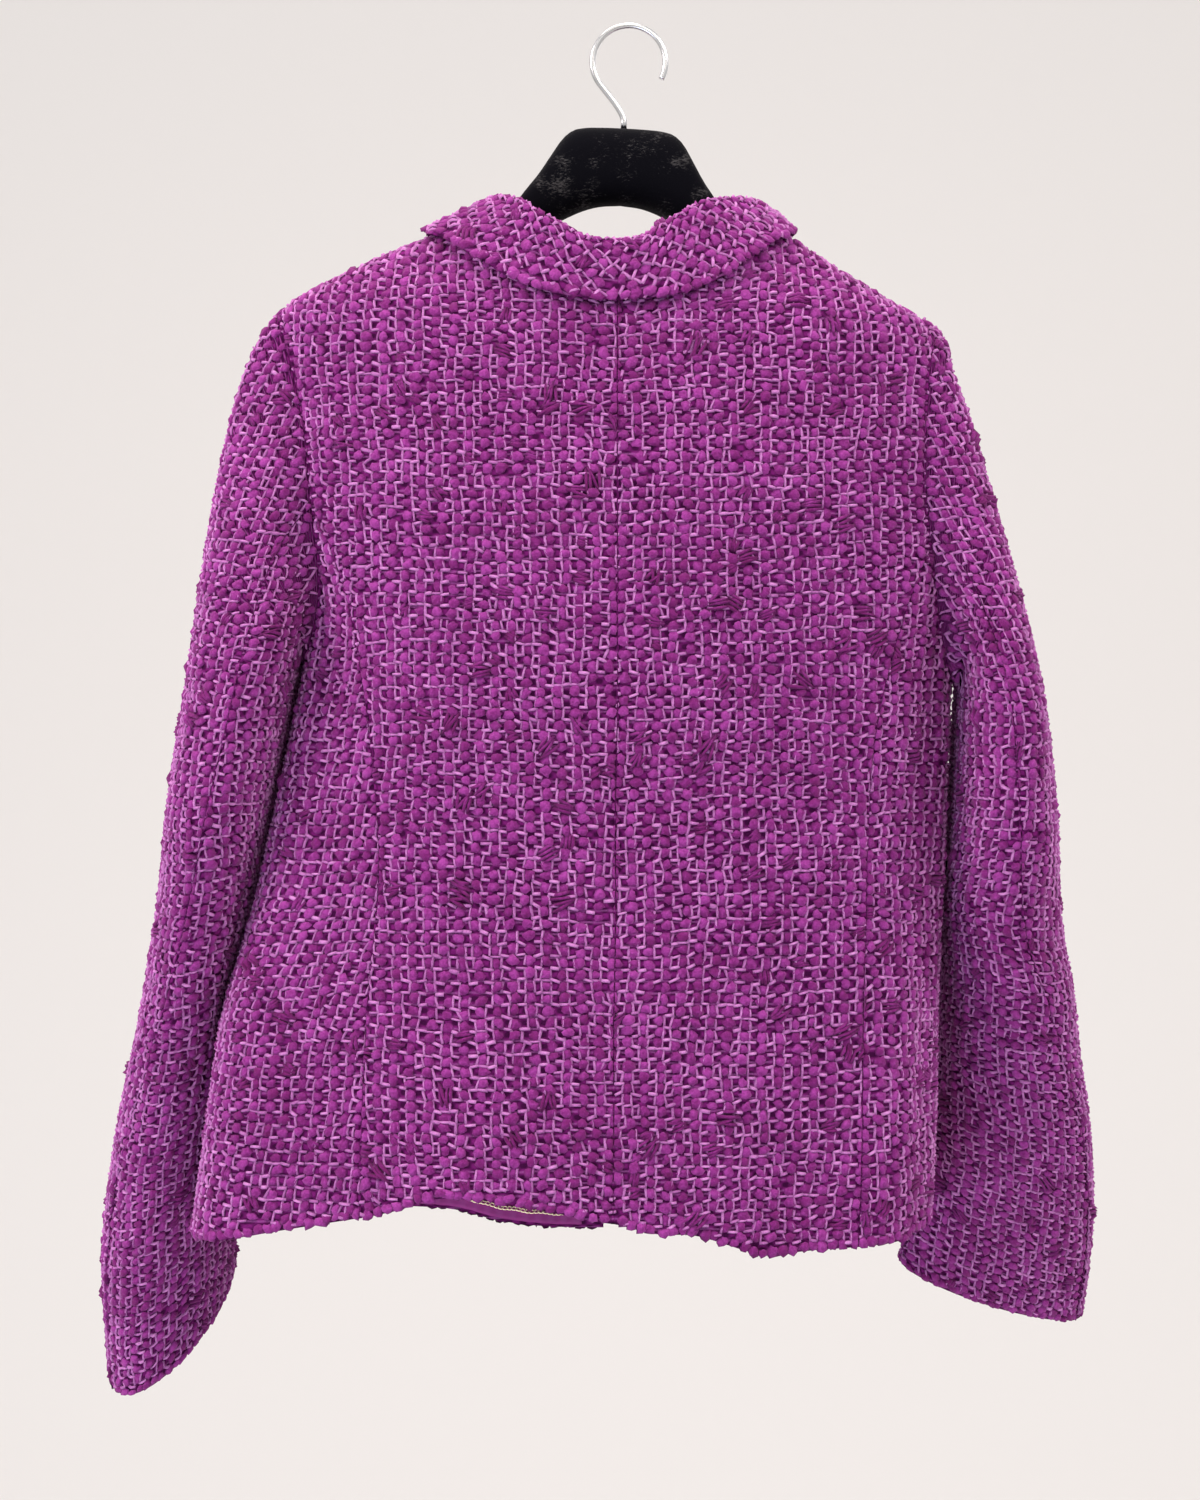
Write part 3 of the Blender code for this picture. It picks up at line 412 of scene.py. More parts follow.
def arm_oval(side, around, share):
    """A point of the sleeve's lower part, at an angle round the arm and a share of the way down.

    Each ring is an ellipse, (p cos(angle), q sin(angle)), turned about the upright, whose height
    drops by one amount times cos(angle) and another times sin(angle).
    """
    rows = SLEEVE_RINGS[side]
    middles = np.stack([column(rows, SLEEVE_COLUMNS, name) for name in "xyz"], axis=1)
    steps = np.linalg.norm(np.diff(middles, axis=0), axis=1)
    places = np.concatenate([[0], np.cumsum(steps)]) / steps.sum()
    oval = {name: smooth(share, places, column(rows, SLEEVE_COLUMNS, name)) for name in SLEEVE_COLUMNS}
    angle, turned = np.radians(around), np.radians(oval["turned"])
    across, deep = oval["half_across"] * np.cos(angle), oval["half_deep"] * np.sin(angle)
    return MM * np.stack([
        oval["x"] + side * (across * np.cos(turned) + deep * np.sin(turned)),
        oval["y"] + deep * np.cos(turned) - across * np.sin(turned),
        oval["z"] - oval["drop_out"] * np.cos(angle) - oval["drop_back"] * np.sin(angle),
    ], axis=-1)


def hermite(t, start, end, leave, arrive):
    """The cubic from start to end that leaves and arrives along two vectors.

    With h = 3t^2 - 2t^3: start (1 - h) + end h + leave (t - 2t^2 + t^3) + arrive (t^3 - t^2).
    """
    t = np.asarray(t)[..., None]
    rise = 3 * t**2 - 2 * t**3
    return start * (1 - rise) + end * rise + leave * (t - 2 * t**2 + t**3) + arrive * (t**3 - t**2)


def clear_of_torso(side, point, clear):
    """Moves the points that are less than `clear` outside the torso out to that distance."""
    surface, normal = torso(side, turn_of(side, point), point[..., 2])
    outside = ((point - surface) * normal).sum(axis=-1)
    return point + np.maximum(clear - outside, 0)[..., None] * normal


def sleeve(side, around, along):
    """A point of the sleeve: a cap from the armhole down to the arm's first oval, then the ovals.

    The cap is a cubic that leaves the armhole outwards and meets the ovals along their own run.
    Each fold then moves the point out by its rise times exp(-(turn / spread)^2 / 2
    - (along / spread)^2 / 2), and last the point is kept clear of the torso.
    """
    around, along = np.broadcast_arrays(np.asarray(around, float), np.asarray(along, float))
    down = np.clip((along - CAP_SHARE) / (1 - CAP_SHARE), 0, 1)
    lower = arm_oval(side, around, down)
    start = torso(side, *armhole(side, around))[0]
    first = arm_oval(side, around, np.zeros_like(down))
    step = 0.01
    run = (arm_oval(side, around, np.full_like(down, step)) - first) / step
    arrive = run * CAP_SHARE / (1 - CAP_SHARE)
    top = (1 + np.cos(np.radians(around))) / 2
    low, high = CAP_REACH[side]
    reach = MM * (low + (high - low) * top)
    lean = CAP_LEAN[0] + (CAP_LEAN[1] - CAP_LEAN[0]) * top
    leave = np.stack([side * reach, 0 * reach, lean * reach], axis=-1)
    cap = hermite(np.clip(along / CAP_SHARE, 0, 1), start, first, leave, arrive)
    point = np.where((along < CAP_SHARE)[..., None], cap, lower)
    of_arm = arm_oval(side, around, down) * 0.5 + arm_oval(side, around + 180, down) * 0.5
    of_hole = start * 0.5 + torso(side, *armhole(side, (around + 180) % 360))[0] * 0.5
    share = np.clip(along / CAP_SHARE, 0, 1)[..., None]
    middle = of_hole * (1 - share) + of_arm * share
    spoke = (point - middle) * (1, 1, 0)
    spoke /= np.linalg.norm(spoke, axis=-1, keepdims=True)
    rise = np.zeros(around.shape)
    for row in SLEEVE_FOLDS[side]:
        fold = dict(zip(SLEEVE_FOLD_COLUMNS, row))
        further = along - fold["along"]
        turn = (around - fold["turn"] - fold["lean"] * further + 180) % 360 - 180
        rise += fold["rise"] * MM * np.exp(
            -(turn / fold["spread_turn"])**2 / 2 - (further / fold["spread_along"])**2 / 2)
    point = point + rise[..., None] * spoke
    return clear_of_torso(side, point, SLEEVE_CLEAR * np.clip(along / CLEAR_BY, 0, 1))


def sleeve_angles(side):
    """Angles round the armhole where the panels have their points: back, under the arm, front."""
    back = armhole_angle(side, BACK_SEAM_MEETS[side], True)
    front = armhole_angle(side, FRONT_SEAM_MEETS, False)
    return (np.linspace(0, back, ARMHOLE_BACK + 1), np.linspace(back, front, ARMHOLE_UNDER + 1),
            np.linspace(front, 360, ARMHOLE_FRONT + 1))


def unit(vectors):
    """The vectors at length one."""
    return vectors / np.maximum(np.linalg.norm(vectors, axis=-1, keepdims=True), 1e-12)


def armhole_mitre(side, around):
    """The direction halfway between the torso's and the sleeve's, which both edges of the seam share."""
    of_torso = torso(side, *armhole(side, around))[1]
    start = sleeve(side, around, 0.0)
    along = sleeve(side, around, 0.01) - start
    round_hole = sleeve(side, around + 1, 0.0) - sleeve(side, around - 1, 0.0)
    of_sleeve = unit(np.cross(round_hole, along)) * -side
    return unit(of_torso + of_sleeve)


def coons(bottom, top, low_side, high_side):
    """Fills the four border lines with a grid, rows from bottom to top.

    With s across and t up: the mixture of the sides by s, plus that of the ends by t, less
    that of the four corners by both.
    """
    s = np.linspace(0, 1, len(bottom))[None, :, None]
    t = np.linspace(0, 1, len(low_side))[:, None, None]
    between_sides = low_side[:, None] * (1 - s) + high_side[:, None] * s
    between_ends = bottom[None] * (1 - t) + top[None] * t
    corners = (
        (bottom[0] * (1 - t) + top[0] * t) * (1 - s)
        + (bottom[-1] * (1 - t) + top[-1] * t) * s
    )
    return between_sides + between_ends - corners


# --- Walls -----------------------------------------------------------------

def grid_normals(points, closed=False):
    """Unit normals of a grid: the cross product of the steps to the neighbours across and along.

    A closed grid runs round its columns.
    """
    if closed:
        across = np.roll(points, -1, axis=1) - np.roll(points, 1, axis=1)
    else:
        across = np.gradient(points, axis=1)
    return unit(np.cross(across, np.gradient(points, axis=0)))


def trimmed(points, normals, low=0.0, high=0.0, top=0.0):
    """Moves the grid's two sides and its top into the panel by their own amounts, square to each border."""
    moved = points.copy()
    for amount, here, next_in in ((low, np.s_[:, 0], np.s_[:, 1]), (high, np.s_[:, -1], np.s_[:, -2]),
                                  (top, np.s_[-1], np.s_[-2])):
        border = points[here]
        inward = unit(np.cross(normals[here], np.gradient(border, axis=0)))
        inward *= np.sign(((points[next_in] - border) * inward).sum())
        moved[here] += inward * np.reshape(amount, (-1, 1))
    return moved


# --- Torso panels ----------------------------------------------------------

def line(turn, height):
    """A line on the torso, as rows of turn and height."""
    return np.stack(np.broadcast_arrays(np.asarray(turn, float), np.asarray(height, float)), axis=1)


def spread(side, turn_heights, count):
    """The line again, with its points spread evenly over the cloth."""
    points = torso(side, turn_heights[:, 0], turn_heights[:, 1], folded=False)[0]
    steps = np.linalg.norm(np.diff(points, axis=0), axis=1)
    along = np.concatenate([[0], np.cumsum(steps)])
    wanted = np.linspace(0, along[-1], count + 1)
    return np.stack([np.interp(wanted, along, turn_heights[:, k]) for k in (0, 1)], axis=1)


def back_seam_turn(side, height):
    """The turn of the seam between back and side panel at a height, from its table."""
    out = MM * smooth(height / MM, column(BACK_SEAM, BACK_SEAM_COLUMNS, "height"),
                      column(BACK_SEAM, BACK_SEAM_COLUMNS, "left" if side == LEFT else "right"))
    return turn_at_x(side, out, height)


def hem_at_back_seam(side):
    """Turn and height where the back seam reaches the hem, by going back and forth between the two."""
    turn = 40.0
    for _ in range(20):
        height = hem_height(side, turn)
        turn = float(back_seam_turn(side, height))
    return turn, float(height)


def back_seam(side):
    """The seam between back and side panel, from the hem to where it meets the armhole.

    It follows its table, and the turn it misses the armhole by is added by the fourth power of
    the way up.
    """
    _, hem = hem_at_back_seam(side)
    top_turn, top = armhole(side, armhole_angle(side, BACK_SEAM_MEETS[side], True))
    heights = np.linspace(hem, float(top), SEAM_ROWS + 1)
    turns = back_seam_turn(side, heights)
    share = (heights - hem) / (float(top) - hem)
    turns += (float(top_turn) - turns[-1]) * share**4
    return line(turns, heights)


def front_seam(side):
    """The seam between side and front panel, straight in turn and height from the hem to the armhole."""
    top_turn, top = armhole(side, armhole_angle(side, FRONT_SEAM_MEETS, False))
    share = np.linspace(0, 1, SEAM_ROWS + 1)
    hem_turn, hem = FRONT_SEAM_TURN_AT_HEM, hem_height(side, FRONT_SEAM_TURN_AT_HEM)
    return line(hem_turn + (top_turn - hem_turn) * share, hem + (top - hem) * share)


def shoulder(side):
    """The ridge from the armhole to the neck."""
    heights = np.linspace(float(armhole(side, 0)[1]), float(neck_height(90)), 60)
    return spread(side, line(90, heights), SHOULDER)


def neckline(side, start, end, count):
    """The neck seam from one turn to another, its points evenly spread."""
    turns = np.linspace(start, end, 90)
    return spread(side, line(turns, neck_height(turns)), count)


def centre_front_turn(side, height):
    """The turn of the front's edge at a height: half the gap between the fronts short of the middle."""
    top, hem = neck_height(180), hem_height(side, 180)
    half_gap = np.interp(height, (hem, top), (FRONT_GAP[1] / 2, FRONT_GAP[0] / 2))
    return 180 - turn_at_x(side, half_gap, height)


def hem_line(side, start, end, count):
    """The hem from one turn to another, its points evenly spread."""
    turns = np.linspace(start, end, 60)
    return spread(side, line(turns, hem_height(side, turns)), count)


def panel(side, bottom, top, low_side, high_side):
    """Fills four border lines of turns and heights with a grid on the torso.

    Its normals at the armhole are the mitre that the sleeve's edge shares.
    """
    borders = [torso(side, b[:, 0], b[:, 1], folded=False)[0] for b in (bottom, top, low_side, high_side)]
    bare = coons(*borders)
    points, normals = torso(side, turn_of(side, bare), bare[..., 2])
    everywhere = np.concatenate(sleeve_angles(side))
    edge = torso(side, *armhole(side, everywhere))[0]
    mitre = armhole_mitre(side, everywhere)
    apart = np.linalg.norm(points[..., None, :] - edge, axis=-1)
    nearest = apart.argmin(axis=-1)
    normals = np.where((apart.min(axis=-1) < 0.1 * MM)[..., None], mitre[nearest], normals)
    return points, normals


def back_panel(side):
    """The back: from centre back to its seam and the armhole, from the hem to the neck and shoulder."""
    seam, (back, _, _) = back_seam(side), sleeve_angles(side)
    hole = line(*armhole(side, back[::-1]))
    heights = np.concatenate([np.linspace(hem_height(side, 0), seam[-1, 1], SEAM_ROWS + 1),
                              np.linspace(seam[-1, 1], neck_height(0), ARMHOLE_BACK + 1)[1:]])
    return panel(
        side,
        hem_line(side, 0, seam[0, 0], NECK_BACK + SHOULDER),
        np.concatenate([neckline(side, 0, 90, NECK_BACK), shoulder(side)[-2::-1]]),
        line(0, heights),
        np.concatenate([seam, hole[1:]]),
    )


def side_panel(side):
    """The side: between its two seams, from the hem to the underside of the armhole."""
    low, high = back_seam(side), front_seam(side)
    return panel(side, hem_line(side, low[0, 0], high[0, 0], ARMHOLE_UNDER),
                 line(*armhole(side, sleeve_angles(side)[1])), low, high)


def front_panel(side):
    """The front: from its seam and the armhole to centre front, from the hem to the shoulder and neck."""
    seam, (_, _, front) = front_seam(side), sleeve_angles(side)
    hole = line(*armhole(side, front))
    heights = np.concatenate([np.linspace(hem_height(side, 180), seam[-1, 1], SEAM_ROWS + 1),
                              np.linspace(seam[-1, 1], neck_height(180), ARMHOLE_FRONT + 1)[1:]])
    edge = line(centre_front_turn(side, heights), heights)
    return panel(
        side,
        hem_line(side, seam[0, 0], edge[0, 0], SHOULDER + NECK_FRONT),
        np.concatenate([shoulder(side), neckline(side, 90, edge[-1, 0], NECK_FRONT)[1:]]),
        np.concatenate([seam, hole[1:]]),
        edge,
    )


def collar_row(side, share, on_seam, normal, into_neck):
    """One row of the collar: up the stand, over the fold on an arc, and down to the free edge.

    The fall is the cubic from the arc's end to the edge, kept clear of the torso.
    """
    shares = column(COLLAR, COLLAR_COLUMNS, "share")
    place = {name: smooth(share, shares, column(COLLAR, COLLAR_COLUMNS, name)) * MM
             for name in COLLAR_COLUMNS[1:]}
    word = "left" if side == LEFT else "right"
    outward = unit(normal * (1, 1, 0))
    up = np.array((0, 0, 1.0))
    base = on_seam + into_neck * SEAM_GAP - normal * (CLOTH + 0.2 * MM)
    climb = unit(up + COLLAR_LEAN * into_neck)
    straight = (place[f"{word}_stand"] - COLLAR_FOLD) * climb / climb[2]
    middle = base + straight + outward * COLLAR_FOLD
    guess = np.array((section(place["edge_height"], "centre") + side * place[f"{word}_out"],
                      place["edge_back"], place["edge_height"]))
    lies_on, lies_normal = torso(side, turn_of(side, guess), guess[2])
    edge = lies_on + lies_normal * (COLLAR_CLOTH + COLLAR_OVER)
    crest = middle + up * COLLAR_FOLD
    slope = math.atan2(crest[2] - edge[2], np.dot(edge - crest, outward))
    end = math.pi / 2 + 0.9 * slope
    arc = [middle + COLLAR_FOLD * (-math.cos(a) * outward + math.sin(a) * up)
           for a in np.linspace(0, end, 6)]
    leave = math.sin(end) * outward + math.cos(end) * up
    chord = edge - arc[-1]
    arrive = unit(chord - np.dot(chord, lies_normal) * lies_normal)
    length = np.linalg.norm(chord)
    fall = hermite(np.linspace(0, 1, 6)[1:], arc[-1], edge, leave * length, arrive * length)
    fall = clear_of_torso(side, fall, COLLAR_CLOTH + COLLAR_OVER)
    return np.concatenate([[base, base * 0.5 + arc[0] * 0.5], arc, fall])


def collar_grid():
    """Collar points and the directions its root faces.

    Rows go round the neck from the wearer's right front to the left, and columns from the seam
    to the free edge.
    """
    rows, roots = [], []
    for side in (RIGHT, LEFT):
        end = float(centre_front_turn(side, neck_height(180)))
        seam = np.concatenate([neckline(side, 0, 90, NECK_BACK), neckline(side, 90, end, NECK_FRONT)[1:]])
        on_seam, normals = torso(side, seam[:, 0], seam[:, 1])
        shares = np.linspace(0, 1, len(seam))
        shares = np.interp(shares, (0, NECK_BACK / (NECK_BACK + NECK_FRONT), 1), (0, SHOULDER_SHARE, 1))
        into_neck = unit(np.cross(normals, np.gradient(on_seam, axis=0))) * -side
        some = range(0 if side == RIGHT else 1, len(seam))
        rows += [collar_row(side, shares[k], on_seam[k], normals[k], into_neck[k]) for k in some][::side]
        roots += [-normals[k] for k in some][::side]
    return np.array(rows), np.array(roots)


def tilted(points):
    """Turns the hanger's frame about the hook's crook, the wearer's left side upwards."""
    cos, sin = math.cos(HANGER_TILT), math.sin(HANGER_TILT)
    x, y, z = points[..., 0], points[..., 1], points[..., 2]
    return np.stack([x * cos - z * sin, y, z * cos + x * sin], axis=-1)


# --- Maps from flat cloth to the hanging garment ----------------------------

class ClothMap:
    """A patch of the garment's surface on an even grid of flat measures, U across and V along, in metres.

    A point at (U, V) and a height over the cloth is the mixture of its four nearest grid
    points, moved along the same mixture of their normals.
    """

    def __init__(self, first_u, first_v, step_u, step_v, points, outward):
        self.first, self.step, self.points = (first_u, first_v), (step_u, step_v), points
        normals = unit(np.cross(np.gradient(points, axis=1), np.gradient(points, axis=0)))
        self.normals = normals * np.sign((normals * outward).sum(axis=-1, keepdims=True))

    def at(self, u, v, height):
        """Places of the points at u, v and a height over the cloth."""
        rows, columns = self.points.shape[:2]
        across = np.clip((u - self.first[0]) / self.step[0], 0, columns - 1.001)
        along = np.clip((v - self.first[1]) / self.step[1], 0, rows - 1.001)
        c, r = across.astype(int), along.astype(int)
        s, t = (across - c)[..., None], (along - r)[..., None]

        def mixed(values):
            return ((values[r, c] * (1 - s) + values[r, c + 1] * s) * (1 - t)
                    + (values[r + 1, c] * (1 - s) + values[r + 1, c + 1] * s) * t)

        return mixed(self.points) + unit(mixed(self.normals)) * np.asarray(height)[..., None]


MAP_STEP = 3 * MM


def torso_map(side, origin):
    """The torso with U measured round each ring from the turn `origin` forwards, and V its height.

    Also gives the turns and heights of its rings, and the lengths along each ring at those turns.
    """
    heights = np.arange(-0.712, -0.099, MAP_STEP)
    reach = np.arange(-0.30, 0.3001, MAP_STEP)
    turns = np.linspace(0, 180, 541)
    points = torso(side, turns, heights[:, None])[0]
    steps = np.linalg.norm(np.diff(points, axis=1), axis=-1)
    lengths = np.concatenate([np.zeros((len(heights), 1)), np.cumsum(steps, axis=1)], axis=1)
    at_reach = [np.interp(reach, row - np.interp(origin, turns, row), turns) for row in lengths]
    points, normals = torso(side, np.array(at_reach), heights[:, None])
    return ClothMap(reach[0], heights[0], MAP_STEP, MAP_STEP, points, normals), (turns, heights, lengths)


def sleeve_map(side):
    """The sleeve with U measured round it from its outer line, backwards positive, and V down it.

    Under the cap V is the share of the way down times the sleeve's length. In the cap it is
    the distance along the arm's direction, so the rows run straight across it.
    """
    around = np.linspace(-180, 180, 361)
    along = np.linspace(0, 1, 161)
    points = sleeve(side, around % 360, along[:, None])
    middles = (points[:, 180] + points[:, 0]) / 2
    outer_line = points[:, 180]
    lengths = np.concatenate([[0], np.cumsum(np.linalg.norm(np.diff(outer_line, axis=0), axis=1))])
    cap = int(np.searchsorted(along, CAP_SHARE))
    direction = unit(middles[cap] - points[0, 180])
    fall = np.repeat(lengths[:, None], len(around), axis=1)
    fall[:cap] = lengths[cap] + ((points[:cap] - points[cap]) * direction).sum(axis=-1)
    rows = np.arange(-0.03, lengths[-1] + 0.002, MAP_STEP)
    shares = np.stack([np.interp(rows, fallen, along) for fallen in np.maximum.accumulate(fall, axis=0).T],
                      axis=1)
    points = sleeve(side, around % 360, shares)
    steps = np.linalg.norm(np.diff(points, axis=1), axis=-1)
    reach = np.arange(-0.26, 0.2601, MAP_STEP)
    turned, share_at = [], []
    for k, row in enumerate(steps):
        length = np.concatenate([[0], np.cumsum(row)])
        turn = np.interp(reach, length - length[180], around)
        turned.append(turn)
        share_at.append(np.interp(turn, around, shares[k]))
    turned, share_at = np.array(turned), np.array(share_at)
    points = sleeve(side, turned % 360, share_at)
    spoke = points - sleeve(side, (turned + 180) % 360, share_at)
    return ClothMap(reach[0], rows[0], MAP_STEP, MAP_STEP, points, spoke), turned, share_at


def collar_map():
    """The collar with U along the neck from the wearer's right front and V from seam to free edge.

    Each row runs on straight past the free edge, so that yarns can lie up to it.
    """
    points, roots = collar_grid()
    fold = points[:, 8]
    lengths = np.concatenate([[0], np.cumsum(np.linalg.norm(np.diff(fold, axis=0), axis=1))])
    across = np.linalg.norm(np.diff(points, axis=1), axis=-1)
    depth = np.concatenate([np.zeros((len(points), 1)), np.cumsum(across, axis=1)], axis=1)
    reach_u = np.arange(0, lengths[-1], MAP_STEP)
    reach_v = np.arange(0, depth.max() + 0.004, MAP_STEP / 2)
    even = np.empty((len(points), len(reach_v), 3))
    for k, row in enumerate(points):
        tail = row[-1] + (row[-1] - row[-2]) / across[k, -1] * 0.02
        for axis in range(3):
            even[k, :, axis] = np.interp(reach_v, [*depth[k], depth[k, -1] + 0.02],
                                         [*row[:, axis], tail[axis]])
    grid = np.empty((len(reach_v), len(reach_u), 3))
    for axis in range(3):
        for j in range(len(reach_v)):
            grid[j, :, axis] = np.interp(reach_u, lengths, even[:, j, axis])
    normals = unit(np.cross(np.gradient(grid, axis=1), np.gradient(grid, axis=0)))
    near_seam = np.stack([np.interp(reach_u, lengths, roots[:, axis]) for axis in range(3)], axis=1)
    normals *= np.sign((normals[1] * near_seam).sum())
    return ClothMap(0.0, 0.0, MAP_STEP, MAP_STEP / 2, grid, normals), lengths, depth[:, -1]


# --- Meshes ----------------------------------------------------------------

def mesh_piece(name, points, faces, made_of, values=(), flat=None):
    """A smooth piece of triangles or quads, with named values on its points and flat maps on its corners."""
    mesh = bpy.data.meshes.new(name)
    faces = np.asarray(faces, np.int32)
    sides = faces.shape[1]
    mesh.vertices.add(len(points))
    mesh.vertices.foreach_set("co", np.asarray(points, np.float32).ravel())
    mesh.loops.add(faces.size)
    mesh.loops.foreach_set("vertex_index", faces.ravel())
    mesh.polygons.add(len(faces))
    mesh.polygons.foreach_set("loop_start", np.arange(0, faces.size, sides, dtype=np.int32))
    for label, numbers in dict(values).items():
        on_points = mesh.attributes.new(label, "FLOAT", "POINT").data
        on_points.foreach_set("value", np.asarray(numbers, np.float32).ravel())
    for label, places in dict(flat or {}).items():
        layer = mesh.uv_layers.new(name=label)
        layer.data.foreach_set("uv", np.asarray(places, np.float32)[faces.ravel()].ravel())
    mesh.update(calc_edges=True)
    mesh.polygons.foreach_set("use_smooth", np.full(len(faces), True))
    mesh.materials.append(made_of)
    piece = bpy.data.objects.new(name, mesh)
    bpy.context.scene.collection.objects.link(piece)
    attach(piece, "root")
    return piece


def wall(outer, normals, near, far):
    """Points and quads of a closed sheet between two depths under a grid."""
    rows, columns = outer.shape[:2]
    size = rows * columns
    points = np.concatenate([(outer - normals * depth).reshape(-1, 3) for depth in (near, far)])
    index = np.arange(size).reshape(rows, columns)
    quads = np.stack([index[:-1, :-1], index[:-1, 1:], index[1:, 1:], index[1:, :-1]], axis=-1)
    quads = quads.reshape(-1, 4)
    ring = np.concatenate([index[0, :-1], index[:-1, -1], index[-1, :0:-1], index[:0:-1, 0]])
    following = np.roll(ring, -1)
    rim = np.stack([following, ring, ring + size, following + size], axis=-1)
    faces = np.concatenate([quads, quads[:, ::-1] + size, rim])
    a, b, c = points[quads[:, 0]], points[quads[:, 1]], points[quads[:, 2]]
    if (np.cross(b - a, c - b) * normals.reshape(-1, 3)[quads[:, 0]]).sum() < 0:
        faces = faces[:, ::-1]
    return points, faces


# --- Yarns -----------------------------------------------------------------

RNG = np.random.default_rng(1907)
CELL_U, CELL_V = 9.0 * MM, 6.4 * MM  # one repeat of the weave, across and along
PAIR_HALF = 1.95 * MM  # from the middle of a pale pair to each of its yarns
UNDER = 1.3 * MM  # depth of the ground cloth under the garment's face

# Boucle: half sizes of a knob, and how far its corners stray as a share of them.
KNOB_U, KNOB_V, KNOB_HIGH = 3.5 * MM, 3.1 * MM, 1.6 * MM
KNOB_ROUGH = 0.19
KNOB_CORNERS = 8
KNOB_RINGS = ((1.0, -0.30), (0.80, 0.70))  # radius and height of each ring under the top

# Slubs: loose strands side by side, in place of a knob here and there.
SLUB_SHARE = 0.045
SLUB_STRANDS = (1, 1.15, 1.1, 0.85)  # length of each, as a share of the half length
SLUB_LONG, SLUB_WIDE, SLUB_HIGH, SLUB_LIFT = 4.6 * MM, 1.15 * MM, 2.4 * MM, -0.5 * MM
SLUB_PITCH, SLUB_START = 1.55, -2.3  # millimetres between strands, and where the first lies
SLUB_ROUGH = 0.14

# The close row of knobs along a hem, cuff or collar edge.
EDGE_ROW = 2.3 * MM  # from the edge to the middle of the row
EDGE_PITCH = 5.6 * MM
EDGE_CLEAR = 2.9 * MM  # from the row to the nearest knob of the weave
EDGE_ENDS = (2.5 * MM, 2 * MM)  # kept free at the row's start and end

# Pale yarns: half length and how it varies, half thickness, height, lift and greatest tint.
YARN = 0.88 * MM
PALE_BAR = (2.6 * MM, 0.12, YARN, 1.35 * MM, -0.60 * MM, 1.0)
PALE_CROSS = (2.9 * MM, 0.10, YARN * 0.85, 1.2 * MM, -0.65 * MM, 0.7)
PALE_STROKE = (3.0 * MM, 0.10, YARN * 0.85, 1.25 * MM, -0.65 * MM, 0.85)
BAR_KEPT, CROSS_SHARE = 0.97, 0.09  # shares of the repeats
STROKE_BEFORE, STROKE_AFTER = 0.62, 0.42  # strokes lie before the pair below one and after it above the other

# Slow drift of the weave's lines: how far each wave goes, its run along U and V, and its start.
DRIFT = ((2.2 * MM, 27, 15, 0.0), (1.5 * MM, -21, 47, 1.3), (0.7 * MM, 60, 121, 2.1))


def wander(u, v):
    """Drift of the weave's lines: the sum of long sine waves."""
    return sum(far * np.sin(u * along_u + v * along_v + start) for far, along_u, along_v, start in DRIFT)


def strand(stations, corners):
    """A rod along its first measure, in shares of its half sizes, and its triangles.

    Half a ring of corners is carried along it. It thins and sinks with the square of the way
    out to its ends, and its underside is open.
    """
    along = np.linspace(-1, 1, stations)
    turn = np.linspace(0, np.pi, corners)
    a = np.repeat(along, corners)
    across = np.tile(np.cos(turn), stations)
    up = np.tile(np.sin(turn), stations) * (1 - 0.35 * a**2) - 0.55 * a**2
    index = np.arange(stations * corners).reshape(stations, corners)
    low, beside, above, over = index[:-1, :-1], index[1:, :-1], index[:-1, 1:], index[1:, 1:]
    faces = np.concatenate([np.stack([low, beside, over], -1).reshape(-1, 3),
                            np.stack([low, over, above], -1).reshape(-1, 3)])
    return np.stack([a, across, up], axis=1), faces


def knob():
    """A lump: rings of corners and a top, in shares of its half sizes and height, and its triangles."""
    turn = np.arange(KNOB_CORNERS) * 2 * np.pi / KNOB_CORNERS
    points = [np.stack([radius * np.cos(turn), radius * np.sin(turn), np.full(KNOB_CORNERS, high)], axis=1)
              for radius, high in KNOB_RINGS]
    points = np.concatenate([*points, [[0, 0, 1.0]]])
    index = np.arange(2 * KNOB_CORNERS).reshape(2, KNOB_CORNERS)
    after = np.roll(index, -1, axis=1)
    top = np.full(KNOB_CORNERS, 2 * KNOB_CORNERS)
    faces = np.concatenate([
        np.stack([index[0], after[0], after[1]], -1),
        np.stack([index[0], after[1], index[1]], -1),
        np.stack([index[1], after[1], top], -1),
    ])
    return points, faces


def varied(size, share, count):
    """The size, changed a little at random for each of `count` yarns."""
    return size * (1 + share * RNG.standard_normal(count))


